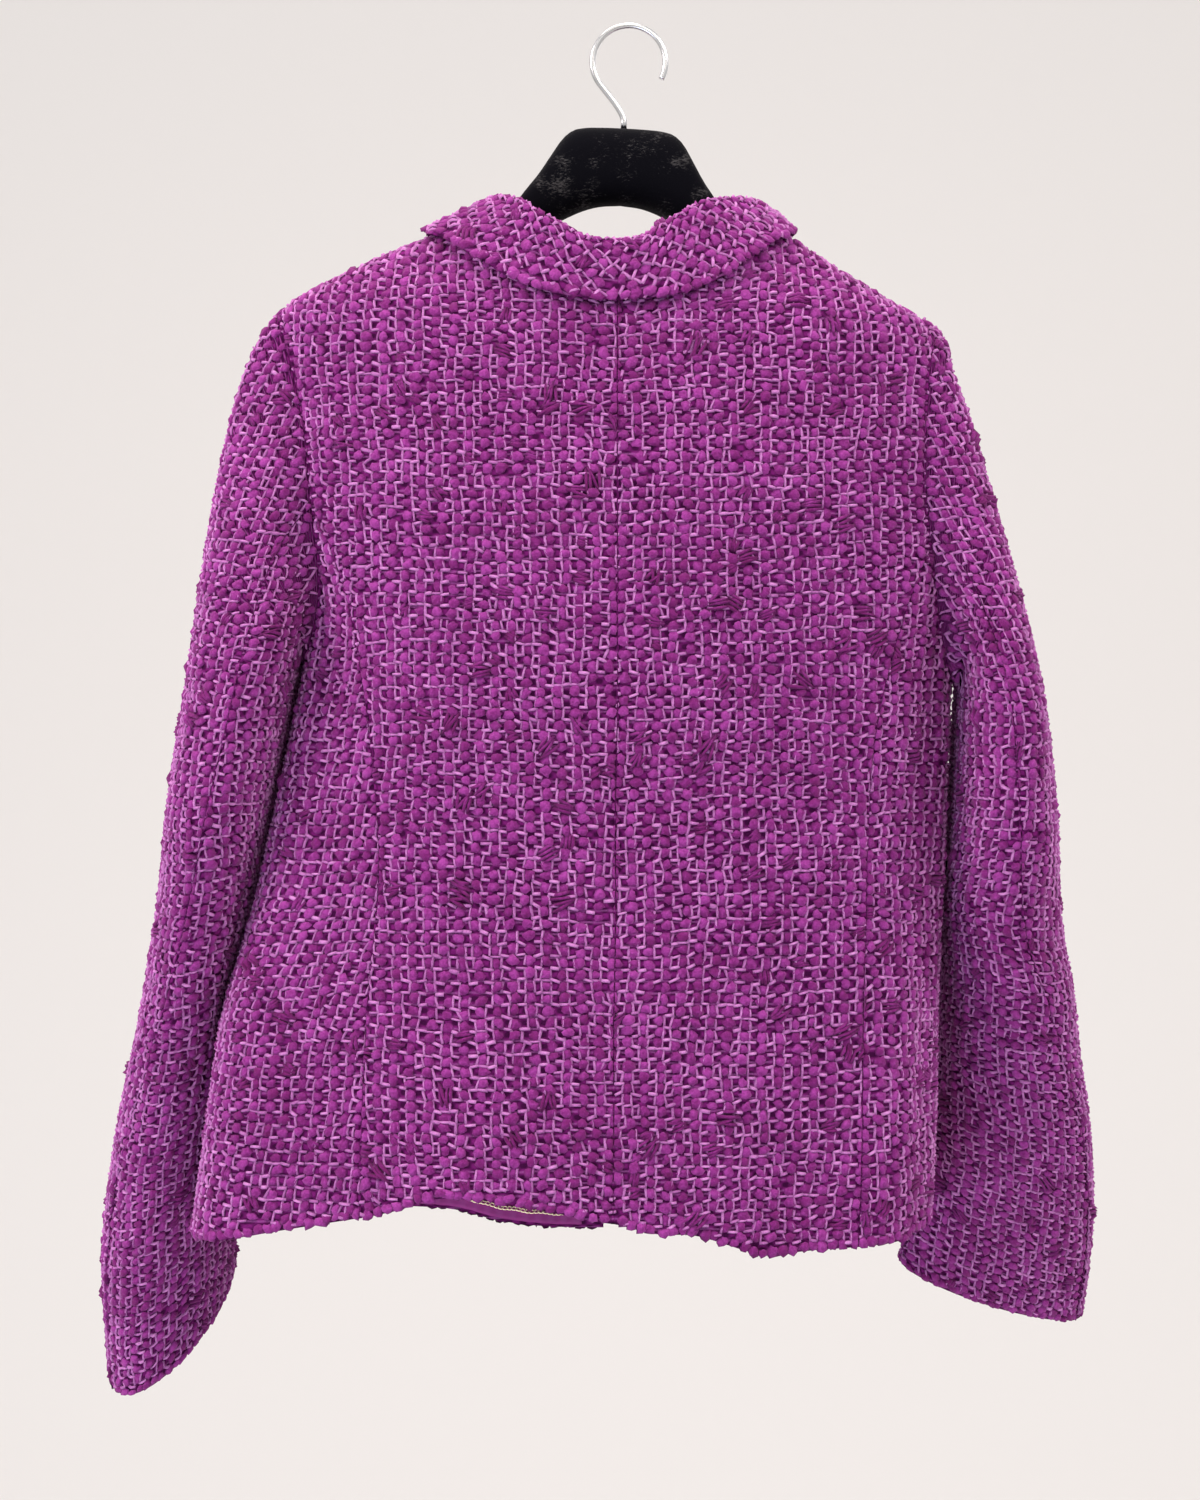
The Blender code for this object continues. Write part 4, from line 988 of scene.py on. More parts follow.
class Yarns:
    """Collects shapes laid on one cloth map and makes one piece of them."""

    def __init__(self, cloth, limit):
        self.cloth, self.limit, self.count = cloth, limit, 0
        self.points, self.faces, self.tint, self.rise, self.flat = [], [], [], [], []

    def lay(self, shape, u, v, turned, half_long, half_wide, high, lift, tint, rough=0.0):
        """Places the shape at each u, v: turned in the cloth, scaled in three ways and lifted."""
        points, faces = shape
        many, each = len(u), len(points)
        if not many:
            return
        noise = 1 + rough * RNG.standard_normal((many, each))
        a = points[:, 0] * half_long[:, None] * noise
        b = points[:, 1] * half_wide[:, None] * noise
        h = points[:, 2] * high[:, None] * (1 + 1.3 * rough * RNG.standard_normal((many, each)))
        cos, sin = np.cos(turned)[:, None], np.sin(turned)[:, None]
        across = u[:, None] + a * cos - b * sin
        along = v[:, None] + a * sin + b * cos
        across = np.clip(across, *self.limit(across, along))
        placed = self.cloth.at(across, along, lift[:, None] + h)
        starts = (np.arange(many) * each)[:, None, None]
        self.points.append(placed.reshape(-1, 3))
        self.faces.append((faces[None] + starts).reshape(-1, 3) + self.count)
        self.tint.append(np.repeat(tint, each))
        # rise: each point's share of its shape's height, 0 at its foot; the wool finish paints shade by it.
        self.rise.append(np.clip(np.broadcast_to(points[:, 2], (many, each)), 0, 1).ravel())
        self.flat.append(np.stack([across, along], axis=-1).reshape(-1, 2))
        self.count += many * each

    def piece(self, name, made_of):
        """One piece of all that was laid, its faces turned outwards."""
        points, faces = np.concatenate(self.points), np.concatenate(self.faces)
        flat = np.concatenate(self.flat)
        low = flat.min(axis=0)
        span = (flat.max(axis=0) - low).max()
        on_cloth = self.cloth.at(flat[:, 0], flat[:, 1], np.zeros(len(flat)))
        outward = self.cloth.at(flat[:, 0], flat[:, 1], np.full(len(flat), MM)) - on_cloth
        a, b, c = (points[faces[:, k]] for k in range(3))
        if (np.cross(b - a, c - a) * outward[faces[:, 0]]).sum() < 0:
            faces = faces[:, ::-1]
        return mesh_piece(name, points, faces, made_of,
                          {"tint": np.concatenate(self.tint), "rise": np.concatenate(self.rise)},
                          {"OFBake": (flat - low) / span * 0.98 + 0.01})


KNOB, BAR, STROKE, SLUB = knob(), strand(3, 4), strand(3, 3), strand(3, 4)


def repeats(cloth, grain, shift):
    """Places of the weave's repeats, and the function that lays places on the cloth, turned by the grain."""
    rows, columns = cloth.points.shape[:2]
    reach_u, reach_v = columns * cloth.step[0], rows * cloth.step[1]
    middle_u, middle_v = cloth.first[0] + reach_u / 2, cloth.first[1] + reach_v / 2
    far = math.hypot(reach_u, reach_v) / 2 if grain else max(reach_u, reach_v) / 2
    i, j = np.meshgrid(np.arange(-int(far / CELL_U) - 1, int(far / CELL_U) + 2),
                       np.arange(-int(far / CELL_V) - 1, int(far / CELL_V) + 2))
    cos, sin = math.cos(grain), math.sin(grain)

    def laid(a, b):
        u, v = middle_u + a * cos - b * sin, middle_v + a * sin + b * cos
        return u + wander(u, v), v + wander(v, u)

    return i.ravel() * CELL_U + shift, j.ravel() * CELL_V, laid


def lay_slubs(knobs, u, v, tint, grain):
    """Loose strands side by side at each place, leaning a little off the grain."""
    count = len(u)
    lean = grain + 0.5 + 0.6 * RNG.standard_normal(count)
    size = 1 + 0.3 * RNG.standard_normal(count).clip(-1, 1.6)
    for k, length in enumerate(SLUB_STRANDS):
        aside = (SLUB_PITCH * k + SLUB_START + 0.3 * RNG.standard_normal(count)) * MM * size
        knobs.lay(SLUB, u - aside * np.sin(lean), v + aside * np.cos(lean),
                  lean + 0.25 * RNG.standard_normal(count), SLUB_LONG * size * length,
                  np.full(count, SLUB_WIDE), SLUB_HIGH * size, np.full(count, SLUB_LIFT),
                  tint + 0.06 * k, SLUB_ROUGH)


def lay_boucle(knobs, across, along, laid, inside, edge, inward, grain):
    """A knob in the wide column of each repeat, or here and there a slub, and the close row at the edge."""
    many = len(across)
    u, v = laid(across + 0.35 * MM * RNG.standard_normal(many), along + 0.3 * MM * RNG.standard_normal(many))
    keep = inside(u, v)
    keep &= inward * (v - np.interp(u, edge[:, 0], edge[:, 1])) > EDGE_CLEAR
    u, v = u[keep], v[keep]
    slub = RNG.random(len(u)) < SLUB_SHARE
    slub_u, slub_v, tint = u[slub], v[slub], 0.12 + RNG.random(slub.sum()) * 0.3
    row_u = np.arange(edge[0, 0] + EDGE_ENDS[0], edge[-1, 0] - EDGE_ENDS[1], EDGE_PITCH)
    row_u = row_u + 0.7 * MM * RNG.standard_normal(len(row_u))
    row_v = np.interp(row_u, edge[:, 0], edge[:, 1]) + 0.55 * MM * RNG.standard_normal(len(row_u))
    u, v = np.concatenate([u[~slub], row_u]), np.concatenate([v[~slub], row_v])
    count = len(u)
    knobs.lay(KNOB, u, v, grain + 0.35 * RNG.standard_normal(count), varied(KNOB_U, 0.10, count),
              varied(KNOB_V, 0.09, count), varied(KNOB_HIGH, 0.24, count), np.full(count, -UNDER),
              0.3 + 0.7 * RNG.random(count), KNOB_ROUGH)
    lay_slubs(knobs, slub_u, slub_v, tint, grain)


def lay_pale(pale, shape, sizes, u, v, turned):
    """Pale yarns of one kind, each a little different."""
    half_long, long_varies, thick, high, lift, tint = sizes
    count = len(u)
    pale.lay(shape, u, v, turned, varied(half_long, long_varies, count), varied(thick, 0.12, count),
             varied(high, 0.15, count), np.full(count, lift), tint * RNG.random(count))


def lay_pairs(pale, across, along, laid, inside, grain):
    """Pale bars across each pair, some across the wide column too, and the strokes between bars.

    Along each column the stroke keeps to one side for a few rows, by a sine wave of its
    column and row, then changes over.
    """
    many = len(across)
    u, v = laid(across + CELL_U / 2 + 0.25 * MM * RNG.standard_normal(many),
                along + CELL_V / 2 + 0.3 * MM * RNG.standard_normal(many))
    keep = inside(u, v) & (RNG.random(many) < BAR_KEPT)
    across, along = across[keep], along[keep]
    u, v = u[keep], v[keep]
    slant = 0.12 + 0.18 * RNG.standard_normal(len(u))
    lay_pale(pale, BAR, PALE_BAR, u, v, grain + slant)
    cross = RNG.random(len(u)) < CROSS_SHARE
    u, v = laid(across[cross] + CELL_U, along[cross] + CELL_V / 2)
    keep = inside(u, v)
    u, v = u[keep], v[keep]
    lay_pale(pale, BAR, PALE_CROSS, u, v, grain + 0.08 * RNG.standard_normal(len(u)))
    wave = across / CELL_U * 2.4 + along / CELL_V * 0.55 + 2 * np.sin(across * 90)
    pick = 0.5 + 0.42 * np.sin(wave) + 0.22 * RNG.standard_normal(len(across))
    for chosen, way in ((pick < STROKE_BEFORE, -1), (pick > STROKE_AFTER, 1)):
        some = chosen.sum()
        u, v = laid(across[chosen] + CELL_U / 2 + way * PAIR_HALF + 0.22 * MM * RNG.standard_normal(some),
                    along[chosen] + CELL_V + 0.2 * MM * RNG.standard_normal(some))
        keep = inside(u, v)
        u, v = u[keep], v[keep]
        lay_pale(pale, STROKE, PALE_STROKE, u, v, grain + np.pi / 2 + 0.16 * RNG.standard_normal(len(u)))


def weave(name, cloth, limit, inside, edge, inward, grain=0.0, shift=0.0):
    """The yarns of one panel, as a piece of boucle and a piece of pale yarn.

    Each repeat of the weave holds a knob of boucle in its wide column, a pale bar across the
    pair beside it, and a pale stroke on one or both sides of the pair down to the next bar.
    The edge is given as places in order of u, and `inward` is the sign of v into the panel.
    """
    across, along, laid = repeats(cloth, grain, shift)
    knobs, pale = Yarns(cloth, limit), Yarns(cloth, limit)
    lay_boucle(knobs, across, along, laid, inside, edge, inward, grain)
    lay_pairs(pale, across, along, laid, inside, grain)
    return [knobs.piece(f"{name}_boucle", BOUCLE), pale.piece(f"{name}_yarn", PALE)]


# --- Finishes --------------------------------------------------------------

def node_group(name, inputs):
    """A shader group with these inputs, which puts out a colour, a roughness and a normal."""
    group = bpy.data.node_groups.new(name, "ShaderNodeTree")
    for label, kind, value in inputs:
        socket = group.interface.new_socket(label, in_out="INPUT", socket_type=f"NodeSocket{kind}")
        socket.default_value = value
    for label, kind in (("Color", "Color"), ("Roughness", "Float"), ("Normal", "Vector")):
        group.interface.new_socket(label, in_out="OUTPUT", socket_type=f"NodeSocket{kind}")
    return group, group.nodes.new("NodeGroupInput").outputs


def put(tree, kind, links=None, **settings):
    """A node with its settings, its plain values and the sockets that feed it."""
    made = tree.nodes.new(kind)
    for key, value in settings.items():
        setattr(made, key, value)
    for socket, source in (links or {}).items():
        if isinstance(source, bpy.types.NodeSocket):
            tree.links.new(source, made.inputs[socket])
        else:
            made.inputs[socket].default_value = source
    return made


def noise(tree, place, size, detail=2.0, roughness=0.5, output="Fac"):
    """Cloudy noise at a place, as a value or as a colour."""
    return put(tree, "ShaderNodeTexNoise", {"Vector": place, "Scale": size, "Detail": detail,
                                            "Roughness": roughness}).outputs[output]


def ranged(tree, value, low=0.0, high=1.0, to_low=0.0, to_high=1.0):
    """The value carried from one range to another and held at its ends."""
    return put(tree, "ShaderNodeMapRange", {"Value": value, "From Min": low, "From Max": high,
                                            "To Min": to_low, "To Max": to_high}).outputs[0]


def figured(tree, operation, *values):
    """The result of one sum, product or sine."""
    return put(tree, "ShaderNodeMath", dict(enumerate(values)), operation=operation).outputs[0]


def blended(tree, share, first, second, way="MIX"):
    """Two colours mixed by a share, or multiplied."""
    return put(tree, "ShaderNodeMix", {"Factor": share, 6: first, 7: second}, data_type="RGBA",
               blend_type=way).outputs[2]


def give(group, colour, rough, height, lift, deep):
    """Puts out the colour and roughness, and a normal raised by the height."""
    result = group.nodes.new("NodeGroupOutput")
    bump = put(group, "ShaderNodeBump", {"Height": height, "Strength": lift, "Distance": deep})
    for label, socket in (("Color", colour), ("Roughness", rough), ("Normal", bump.outputs["Normal"])):
        group.links.new(socket, result.inputs[label])
    return group


def wool_group():
    """Yarn: tint, fibres and patches together pick between three dye shades, and painted shade darkens each
    yarn towards its foot.
    """
    group, given = node_group("Wool", (
        ("Deep", "Color", (0.1, 0.01, 0.1, 1)), ("Plain", "Color", (0.3, 0.03, 0.25, 1)),
        ("Bright", "Color", (0.5, 0.06, 0.4, 1)), ("Fibre Size", "Float", 900.0),
        ("Fibre Lift", "Float", 0.5), ("Hollow Shade", "Float", 0.4)))
    place = put(group, "ShaderNodeTexCoord").outputs["Object"]
    tint = put(group, "ShaderNodeAttribute", attribute_name="tint").outputs["Fac"]
    rise = put(group, "ShaderNodeAttribute", attribute_name="rise").outputs["Fac"]
    fibres = noise(group, place, given["Fibre Size"], 3.0, 0.65)
    patches = noise(group, place, 18.0)
    mottle = ranged(group, fibres, 0.25, 0.75)
    shade = figured(group, "ADD", figured(group, "ADD", tint, mottle), patches)
    shade = ranged(group, shade, 0.65, 2.2)
    dyed = blended(group, ranged(group, shade, 0.0, 0.5), given["Deep"], given["Plain"])
    dyed = blended(group, ranged(group, shade, 0.5, 1.0), dyed, given["Bright"])
    # Painted shade: the colour is multiplied down towards the foot of each yarn (rise 0), where it meets the
    # cloth, and left as dyed from rise 0.7 up.
    depth = ranged(group, rise, 0.0, 0.7, given["Hollow Shade"], 1.0)
    shaded = blended(group, 1.0, dyed, depth, "MULTIPLY")
    return give(group, shaded, ranged(group, fibres, to_low=0.75), fibres, given["Fibre Lift"], 1.2 * MM)


def ground_group():
    """The ground cloth: sine waves of its flat measures, with painted shade in the gaps between the knobs and
    pale threads across.
    """
    group, given = node_group("Ground Cloth", (
        ("Gap Shade", "Color", (0.02, 0.003, 0.02, 1)), ("Thread", "Color", (0.16, 0.02, 0.14, 1)),
        ("Pale", "Color", (0.4, 0.15, 0.38, 1))))
    flat = put(group, "ShaderNodeUVMap", uv_map="flat").outputs["UV"]
    drift = noise(group, flat, 90.0, output="Color")
    drift = put(group, "ShaderNodeVectorMath", {0: drift, "Scale": 2.2 * MM}, operation="SCALE").outputs[0]
    flat = put(group, "ShaderNodeVectorMath", {0: flat, 1: drift}, operation="ADD").outputs[0]
    parts = put(group, "ShaderNodeSeparateXYZ", {0: flat}).outputs
    rows = figured(group, "SINE", figured(group, "MULTIPLY", parts["Y"], 2 * math.pi / CELL_V))
    columns = figured(group, "SINE", figured(group, "MULTIPLY", parts["X"], 2 * math.pi / CELL_U))
    knobs = ranged(group, figured(group, "MULTIPLY", rows, columns), -0.5, 0.6)
    bars = ranged(group, rows, 0.75, 0.95)
    fibres = noise(group, flat, 1500.0, 3.0)
    # Painted shade: near-black between the knobs' places, the cloth's own thread colour under them.
    colour = blended(group, knobs, given["Gap Shade"], given["Thread"])
    colour = blended(group, figured(group, "MULTIPLY", bars, fibres), colour, given["Pale"])
    height = figured(group, "ADD", knobs, fibres)
    return give(group, colour, ranged(group, fibres, to_low=0.8), height, 0.8, 0.8 * MM)


def flock_group():
    """Short black nap: fine speckle, and grey lint where a stretched noise and slow patches meet."""
    group, given = node_group("Flock", (
        ("Nap", "Color", (0.0025, 0.0025, 0.004, 1)), ("Lint", "Color", (0.25, 0.24, 0.24, 1))))
    place = put(group, "ShaderNodeTexCoord").outputs["Object"]
    nap = noise(group, place, 2600.0)
    drift = noise(group, place, 60.0, 3.0)
    stretched = put(group, "ShaderNodeMapping", {"Vector": place, "Rotation": (0, 0.5, 0),
                                                 "Scale": (1.0, 1.0, 2.6)}).outputs[0]
    lint = figured(group, "ADD", noise(group, stretched, 420.0, 4.0, 0.8), drift)
    colour = blended(group, ranged(group, lint, 1.10, 1.36, 0.0, 0.30), given["Nap"], given["Lint"])
    return give(group, colour, ranged(group, drift, to_low=0.85), nap, 0.6, 0.3 * MM)


def rub_group():
    """Plain finish: one colour with slow changes, its roughness and surface a little uneven."""
    group, given = node_group("Rubbed", (
        ("Base", "Color", (0.5, 0.5, 0.5, 1)), ("Smooth", "Float", 0.2), ("Dull", "Float", 0.4),
        ("Grain Size", "Float", 300.0), ("Grain Lift", "Float", 0.1)))
    place = put(group, "ShaderNodeTexCoord").outputs["Object"]
    grain = noise(group, place, given["Grain Size"], 4.0)
    tone = ranged(group, noise(group, place, 45.0), 0.3, 0.7, 0.8, 1.12)
    colour = blended(group, 1.0, given["Base"], tone, "MULTIPLY")
    rough = ranged(group, grain, 0.3, 0.7, given["Smooth"], given["Dull"])
    return give(group, colour, rough, grain, given["Grain Lift"], 0.3 * MM)


def finish(name, group=None, values=(), **shader_values):
    """A material of one Principled BSDF, fed by a group's colour, roughness and normal where it has one."""
    made = bpy.data.materials.new(name)
    made.use_nodes = True
    tree = made.node_tree
    shader = tree.nodes["Principled BSDF"]
    for label, value in shader_values.items():
        shader.inputs[label.replace("_", " ")].default_value = value
    if group:
        looks = put(tree, "ShaderNodeGroup", dict(values), node_tree=group)
        for label, socket in (("Color", "Base Color"), ("Roughness", "Roughness"), ("Normal", "Normal")):
            tree.links.new(looks.outputs[label], shader.inputs[socket])
    return made


WOOL, RUBBED = wool_group(), rub_group()
# The hollow value of the boucle and the pale yarn sets how dark the painted shade at the foot of each yarn
# goes.
BOUCLE = finish(
    "Magenta boucle", WOOL,
    {"Deep": (0.105, 0.004, 0.068, 1), "Plain": (0.150, 0.011, 0.124, 1), "Bright": (0.275, 0.037, 0.245, 1),
     "Fibre Size": 430.0, "Fibre Lift": 1.0, "Hollow Shade": 0.50},
    Sheen_Weight=0.14, Sheen_Roughness=0.6, Sheen_Tint=(1, 0.5, 0.9, 1), Specular_IOR_Level=0.08)
PALE = finish(
    "Pale lilac yarn", WOOL,
    {"Deep": (0.280, 0.080, 0.265, 1), "Plain": (0.420, 0.140, 0.400, 1), "Bright": (0.570, 0.225, 0.545, 1),
     "Fibre Size": 1300.0, "Fibre Lift": 0.6, "Hollow Shade": 0.7},
    Sheen_Weight=0.08, Sheen_Roughness=0.6, Sheen_Tint=(1, 0.7, 0.95, 1), Specular_IOR_Level=0.08)
# The ground's gap colour is painted shade between the knobs; its thread and pale colours are the cloth's own.
GROUND = finish(
    "Ground of the tweed", ground_group(),
    {"Gap Shade": (0.040, 0.003, 0.036, 1), "Thread": (0.150, 0.011, 0.125, 1), "Pale": (0.300, 0.080, 0.280, 1)},
    Specular_IOR_Level=0.05)
SATIN = finish(
    "Purple satin", RUBBED,
    {"Base": (0.250, 0.022, 0.190, 1), "Smooth": 0.42, "Dull": 0.60,
     "Grain Size": 2500.0, "Grain Lift": 0.25},
    Specular_IOR_Level=0.25)
GOLD = finish(
    "Pale gold", RUBBED,
    {"Base": (0.98, 0.86, 0.60, 1), "Smooth": 0.22, "Dull": 0.42, "Grain Size": 900.0, "Grain Lift": 0.15},
    Metallic=1.0)
FLOCK = finish("Black flock", flock_group(), Sheen_Weight=0.05, Sheen_Roughness=0.4, Specular_IOR_Level=0.02)
STEEL = finish(
    "Bright wire", RUBBED,
    {"Base": (0.62, 0.62, 0.63, 1), "Smooth": 0.14, "Dull": 0.30, "Grain Size": 1200.0, "Grain Lift": 0.08},
    Metallic=1.0)


# --- The garment -----------------------------------------------------------

WORD = {LEFT: "left", RIGHT: "right"}
OVER_SEAM = 1.3 * MM  # how far past a seam the middle of a yarn may lie
SEAM_HALF = 0.25 * MM  # kept free by the yarns on each side of a seam
CORD_RADIUS, CORD_DEPTH, CORD_CORNERS = 1.25 * MM, 2.1 * MM, 6


def shell(name, outer, normals, flat_at, far=CLOTH, near=UNDER, ground=None):
    """The ground cloth of one panel, which stands for its solid, with its flat measures on its corners."""
    points, faces = wall(outer, normals, near, far)
    size = outer.shape[0] * outer.shape[1]
    flat = np.concatenate([flat_at.reshape(size, 2)] * 2)
    piece = mesh_piece(f"{name}_cloth", points, faces, ground or GROUND, flat={"flat": flat})
    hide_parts(name)
    return piece


def cord(name, lines):
    """The rolled allowances behind seams: a ring of corners carried along behind each line of points."""
    points, faces, count = [], [], 0
    turn = np.arange(CORD_CORNERS) * 2 * np.pi / CORD_CORNERS
    cos, sin = np.cos(turn)[None, :, None], np.sin(turn)[None, :, None]
    for line_points, normals in lines:
        ahead = unit(np.gradient(line_points, axis=0))
        out = unit(normals - (normals * ahead).sum(axis=1, keepdims=True) * ahead)
        aside = np.cross(ahead, out)
        ring = CORD_RADIUS * (cos * aside[:, None] + sin * out[:, None])
        points.append((line_points - out * CORD_DEPTH)[:, None] + ring)
        index = np.arange(ring.shape[0] * CORD_CORNERS).reshape(-1, CORD_CORNERS) + count
        after = np.roll(index, -1, axis=1)
        quads = np.stack([index[:-1], after[:-1], after[1:], index[1:]], axis=-1)
        faces.append(quads.reshape(-1, 4)[:, ::-1])
        count += index.size
    points, faces = np.concatenate([p.reshape(-1, 3) for p in points]), np.concatenate(faces)
    bake = np.stack([points[:, 0] + 0.5, points[:, 2] + 1], axis=1) * 0.5
    return mesh_piece(name, points, faces, GROUND, flat={"flat": points[:, [0, 2]], "OFBake": bake})


def hole_turn(side, height, at_back):
    """The turn of the armhole's back or front edge at a height."""
    hole = hole_of(side)
    share = np.clip((height / MM - hole["middle"]) / hole["radius"], -1, 1)
    reach = MM * hole["back_reach" if at_back else "front_reach"] * (1 - share**2) ** (ARMHOLE_FULLNESS / 2)
    return turn_at_y(reach if at_back else -reach, height)


def panel_edge(side, height, at_back):
    """The turn where the side panel's back or front edge lies at a height: its seam, then the armhole."""
    seam = back_seam(side) if at_back else front_seam(side)
    on_seam = np.interp(height, seam[:, 1], seam[:, 0])
    return np.where(height > seam[-1, 1], hole_turn(side, height, at_back), on_seam)


def in_armhole(side, turn, height):
    """Whether a place on the torso lies inside the armhole's oval."""
    hole = hole_of(side)
    level = (height < MM * hole["top"]) & (height > MM * hole["bottom"])
    return level & (turn > hole_turn(side, height, True)) & (turn < hole_turn(side, height, False))


def map_row(height, heights):
    """The row of the torso's map nearest a height."""
    return np.clip(((height - heights[0]) / MAP_STEP).round().astype(int), 0, len(heights) - 1)


def by_row(height, heights, value, known, wanted):
    """Reads `wanted` off `known` at each value, in the map's row nearest its height."""
    row = map_row(height, heights)
    found = np.empty(np.shape(value))
    for k in np.unique(row):
        here = row == k
        found[here] = np.interp(value[here], known[k], wanted[k])
    return found


def dress_panel(side, part, origin, edges, grid, trims, seams, shift):
    """One panel of the torso: its yarns, its seams' allowances and its ground cloth."""
    name = f"{part}_{WORD[side]}"
    cloth, (turns, heights, lengths) = torso_map(side, origin)
    reach = lengths - np.array([np.interp(origin, turns, row) for row in lengths])[:, None]
    all_turns = np.broadcast_to(turns, reach.shape)
    low_u, high_u = (np.array([np.interp(turn, turns, row) for turn, row in zip(edge, reach)])
                     for edge in edges(heights))

    def limit(u, v):
        return np.interp(v, heights, low_u) + SEAM_HALF, np.interp(v, heights, high_u) - SEAM_HALF

    def inside(u, v):
        turn = by_row(v, heights, u, reach, all_turns)
        within = u > np.interp(v, heights, low_u) - OVER_SEAM
        within &= u < np.interp(v, heights, high_u) + OVER_SEAM
        within &= (v > hem_height(side, turn) + 1.9 * MM) & (v < neck_height(turn) - 1 * MM)
        return within & ~in_armhole(side, turn, v)

    outer, normals = grid(side)
    flat = np.stack([by_row(outer[..., 2], heights, turn_of(side, outer), all_turns, reach), outer[..., 2]],
                    axis=-1)
    hem_v = hem_height(side, turns) + EDGE_ROW
    hem_u = by_row(hem_v, heights, turns, all_turns, reach)
    row = map_row(hem_v, heights)
    hem = np.stack([hem_u, hem_v], axis=1)[(hem_u > low_u[row]) & (hem_u < high_u[row])]
    yarns = weave(name, cloth, limit, inside, hem, 1, shift=shift)
    yarns.append(cord(f"{name}_seams", [(outer[s], normals[s]) for s in seams]))
    shell(name, trimmed(outer, normals, **trims), normals, flat)


def dress_torso(side):
    """Back, side and front: each with the turn its measures start from, its edges, seams and shift."""
    half = SEAM_GAP / 2

    def back_edges(heights):
        return 0 * heights, panel_edge(side, heights, True)

    def side_edges(heights):
        return panel_edge(side, heights, True), panel_edge(side, heights, False)

    def front_edges(heights):
        return panel_edge(side, heights, False), centre_front_turn(side, heights)

    dress_panel(side, "back", 0.0, back_edges, back_panel, dict(low=half, high=half, top=half),
                (np.s_[:, 0], np.s_[:, -1], np.s_[-1]), 0)
    dress_panel(side, "side", 90.0, side_edges, side_panel, dict(low=half, high=half, top=half),
                (np.s_[-1],), 2.4 * MM)
    dress_panel(side, "front", 180.0, front_edges, front_panel, dict(low=half, top=half),
                (np.s_[:, 0], np.s_[-1]), 4.1 * MM)


def sleeve_seam_angles(side, share):
    """Angles round the arm of the sleeve's back and front seams at a share of its length."""
    back, _, front = sleeve_angles(side)
    places = [0, *column(SLEEVE_SEAMS, SLEEVE_SEAM_COLUMNS, "along")]
    return (smooth(share, places, [back[-1], *column(SLEEVE_SEAMS, SLEEVE_SEAM_COLUMNS, "back_seam")]),
            smooth(share, places, [front[0], *column(SLEEVE_SEAMS, SLEEVE_SEAM_COLUMNS, "front_seam")]))


def sleeve_grid(side):
    """Points and outward normals: rows down the sleeve, columns from its back seam under the arm."""
    back, under, front = sleeve_angles(side)
    start = np.concatenate([under[:-1], front[:-1], 360 + back])
    back_at, front_at = (angles[:, None] for angles in sleeve_seam_angles(side, SLEEVE_ALONG))
    share = np.where(start < front[0], (start - back[-1]) / (front[0] - back[-1]),
                     1 + (start - front[0]) / (360 + back[-1] - front[0]))
    around = np.where(share <= 1, back_at + (front_at - back_at) * share,
                      front_at + (360 + back_at - front_at) * (share - 1))
    points = sleeve(side, around, SLEEVE_ALONG[:, None])
    normals = grid_normals(points[:, :-1], closed=True)
    normals = np.concatenate([normals, normals[:, :1]], axis=1) * -side
    normals[0] = armhole_mitre(side, start)
    away = torso(side, *armhole(side, start))[1]
    points[0] += SEAM_GAP * unit(unit(points[1] - points[0]) + away)
    return points, normals


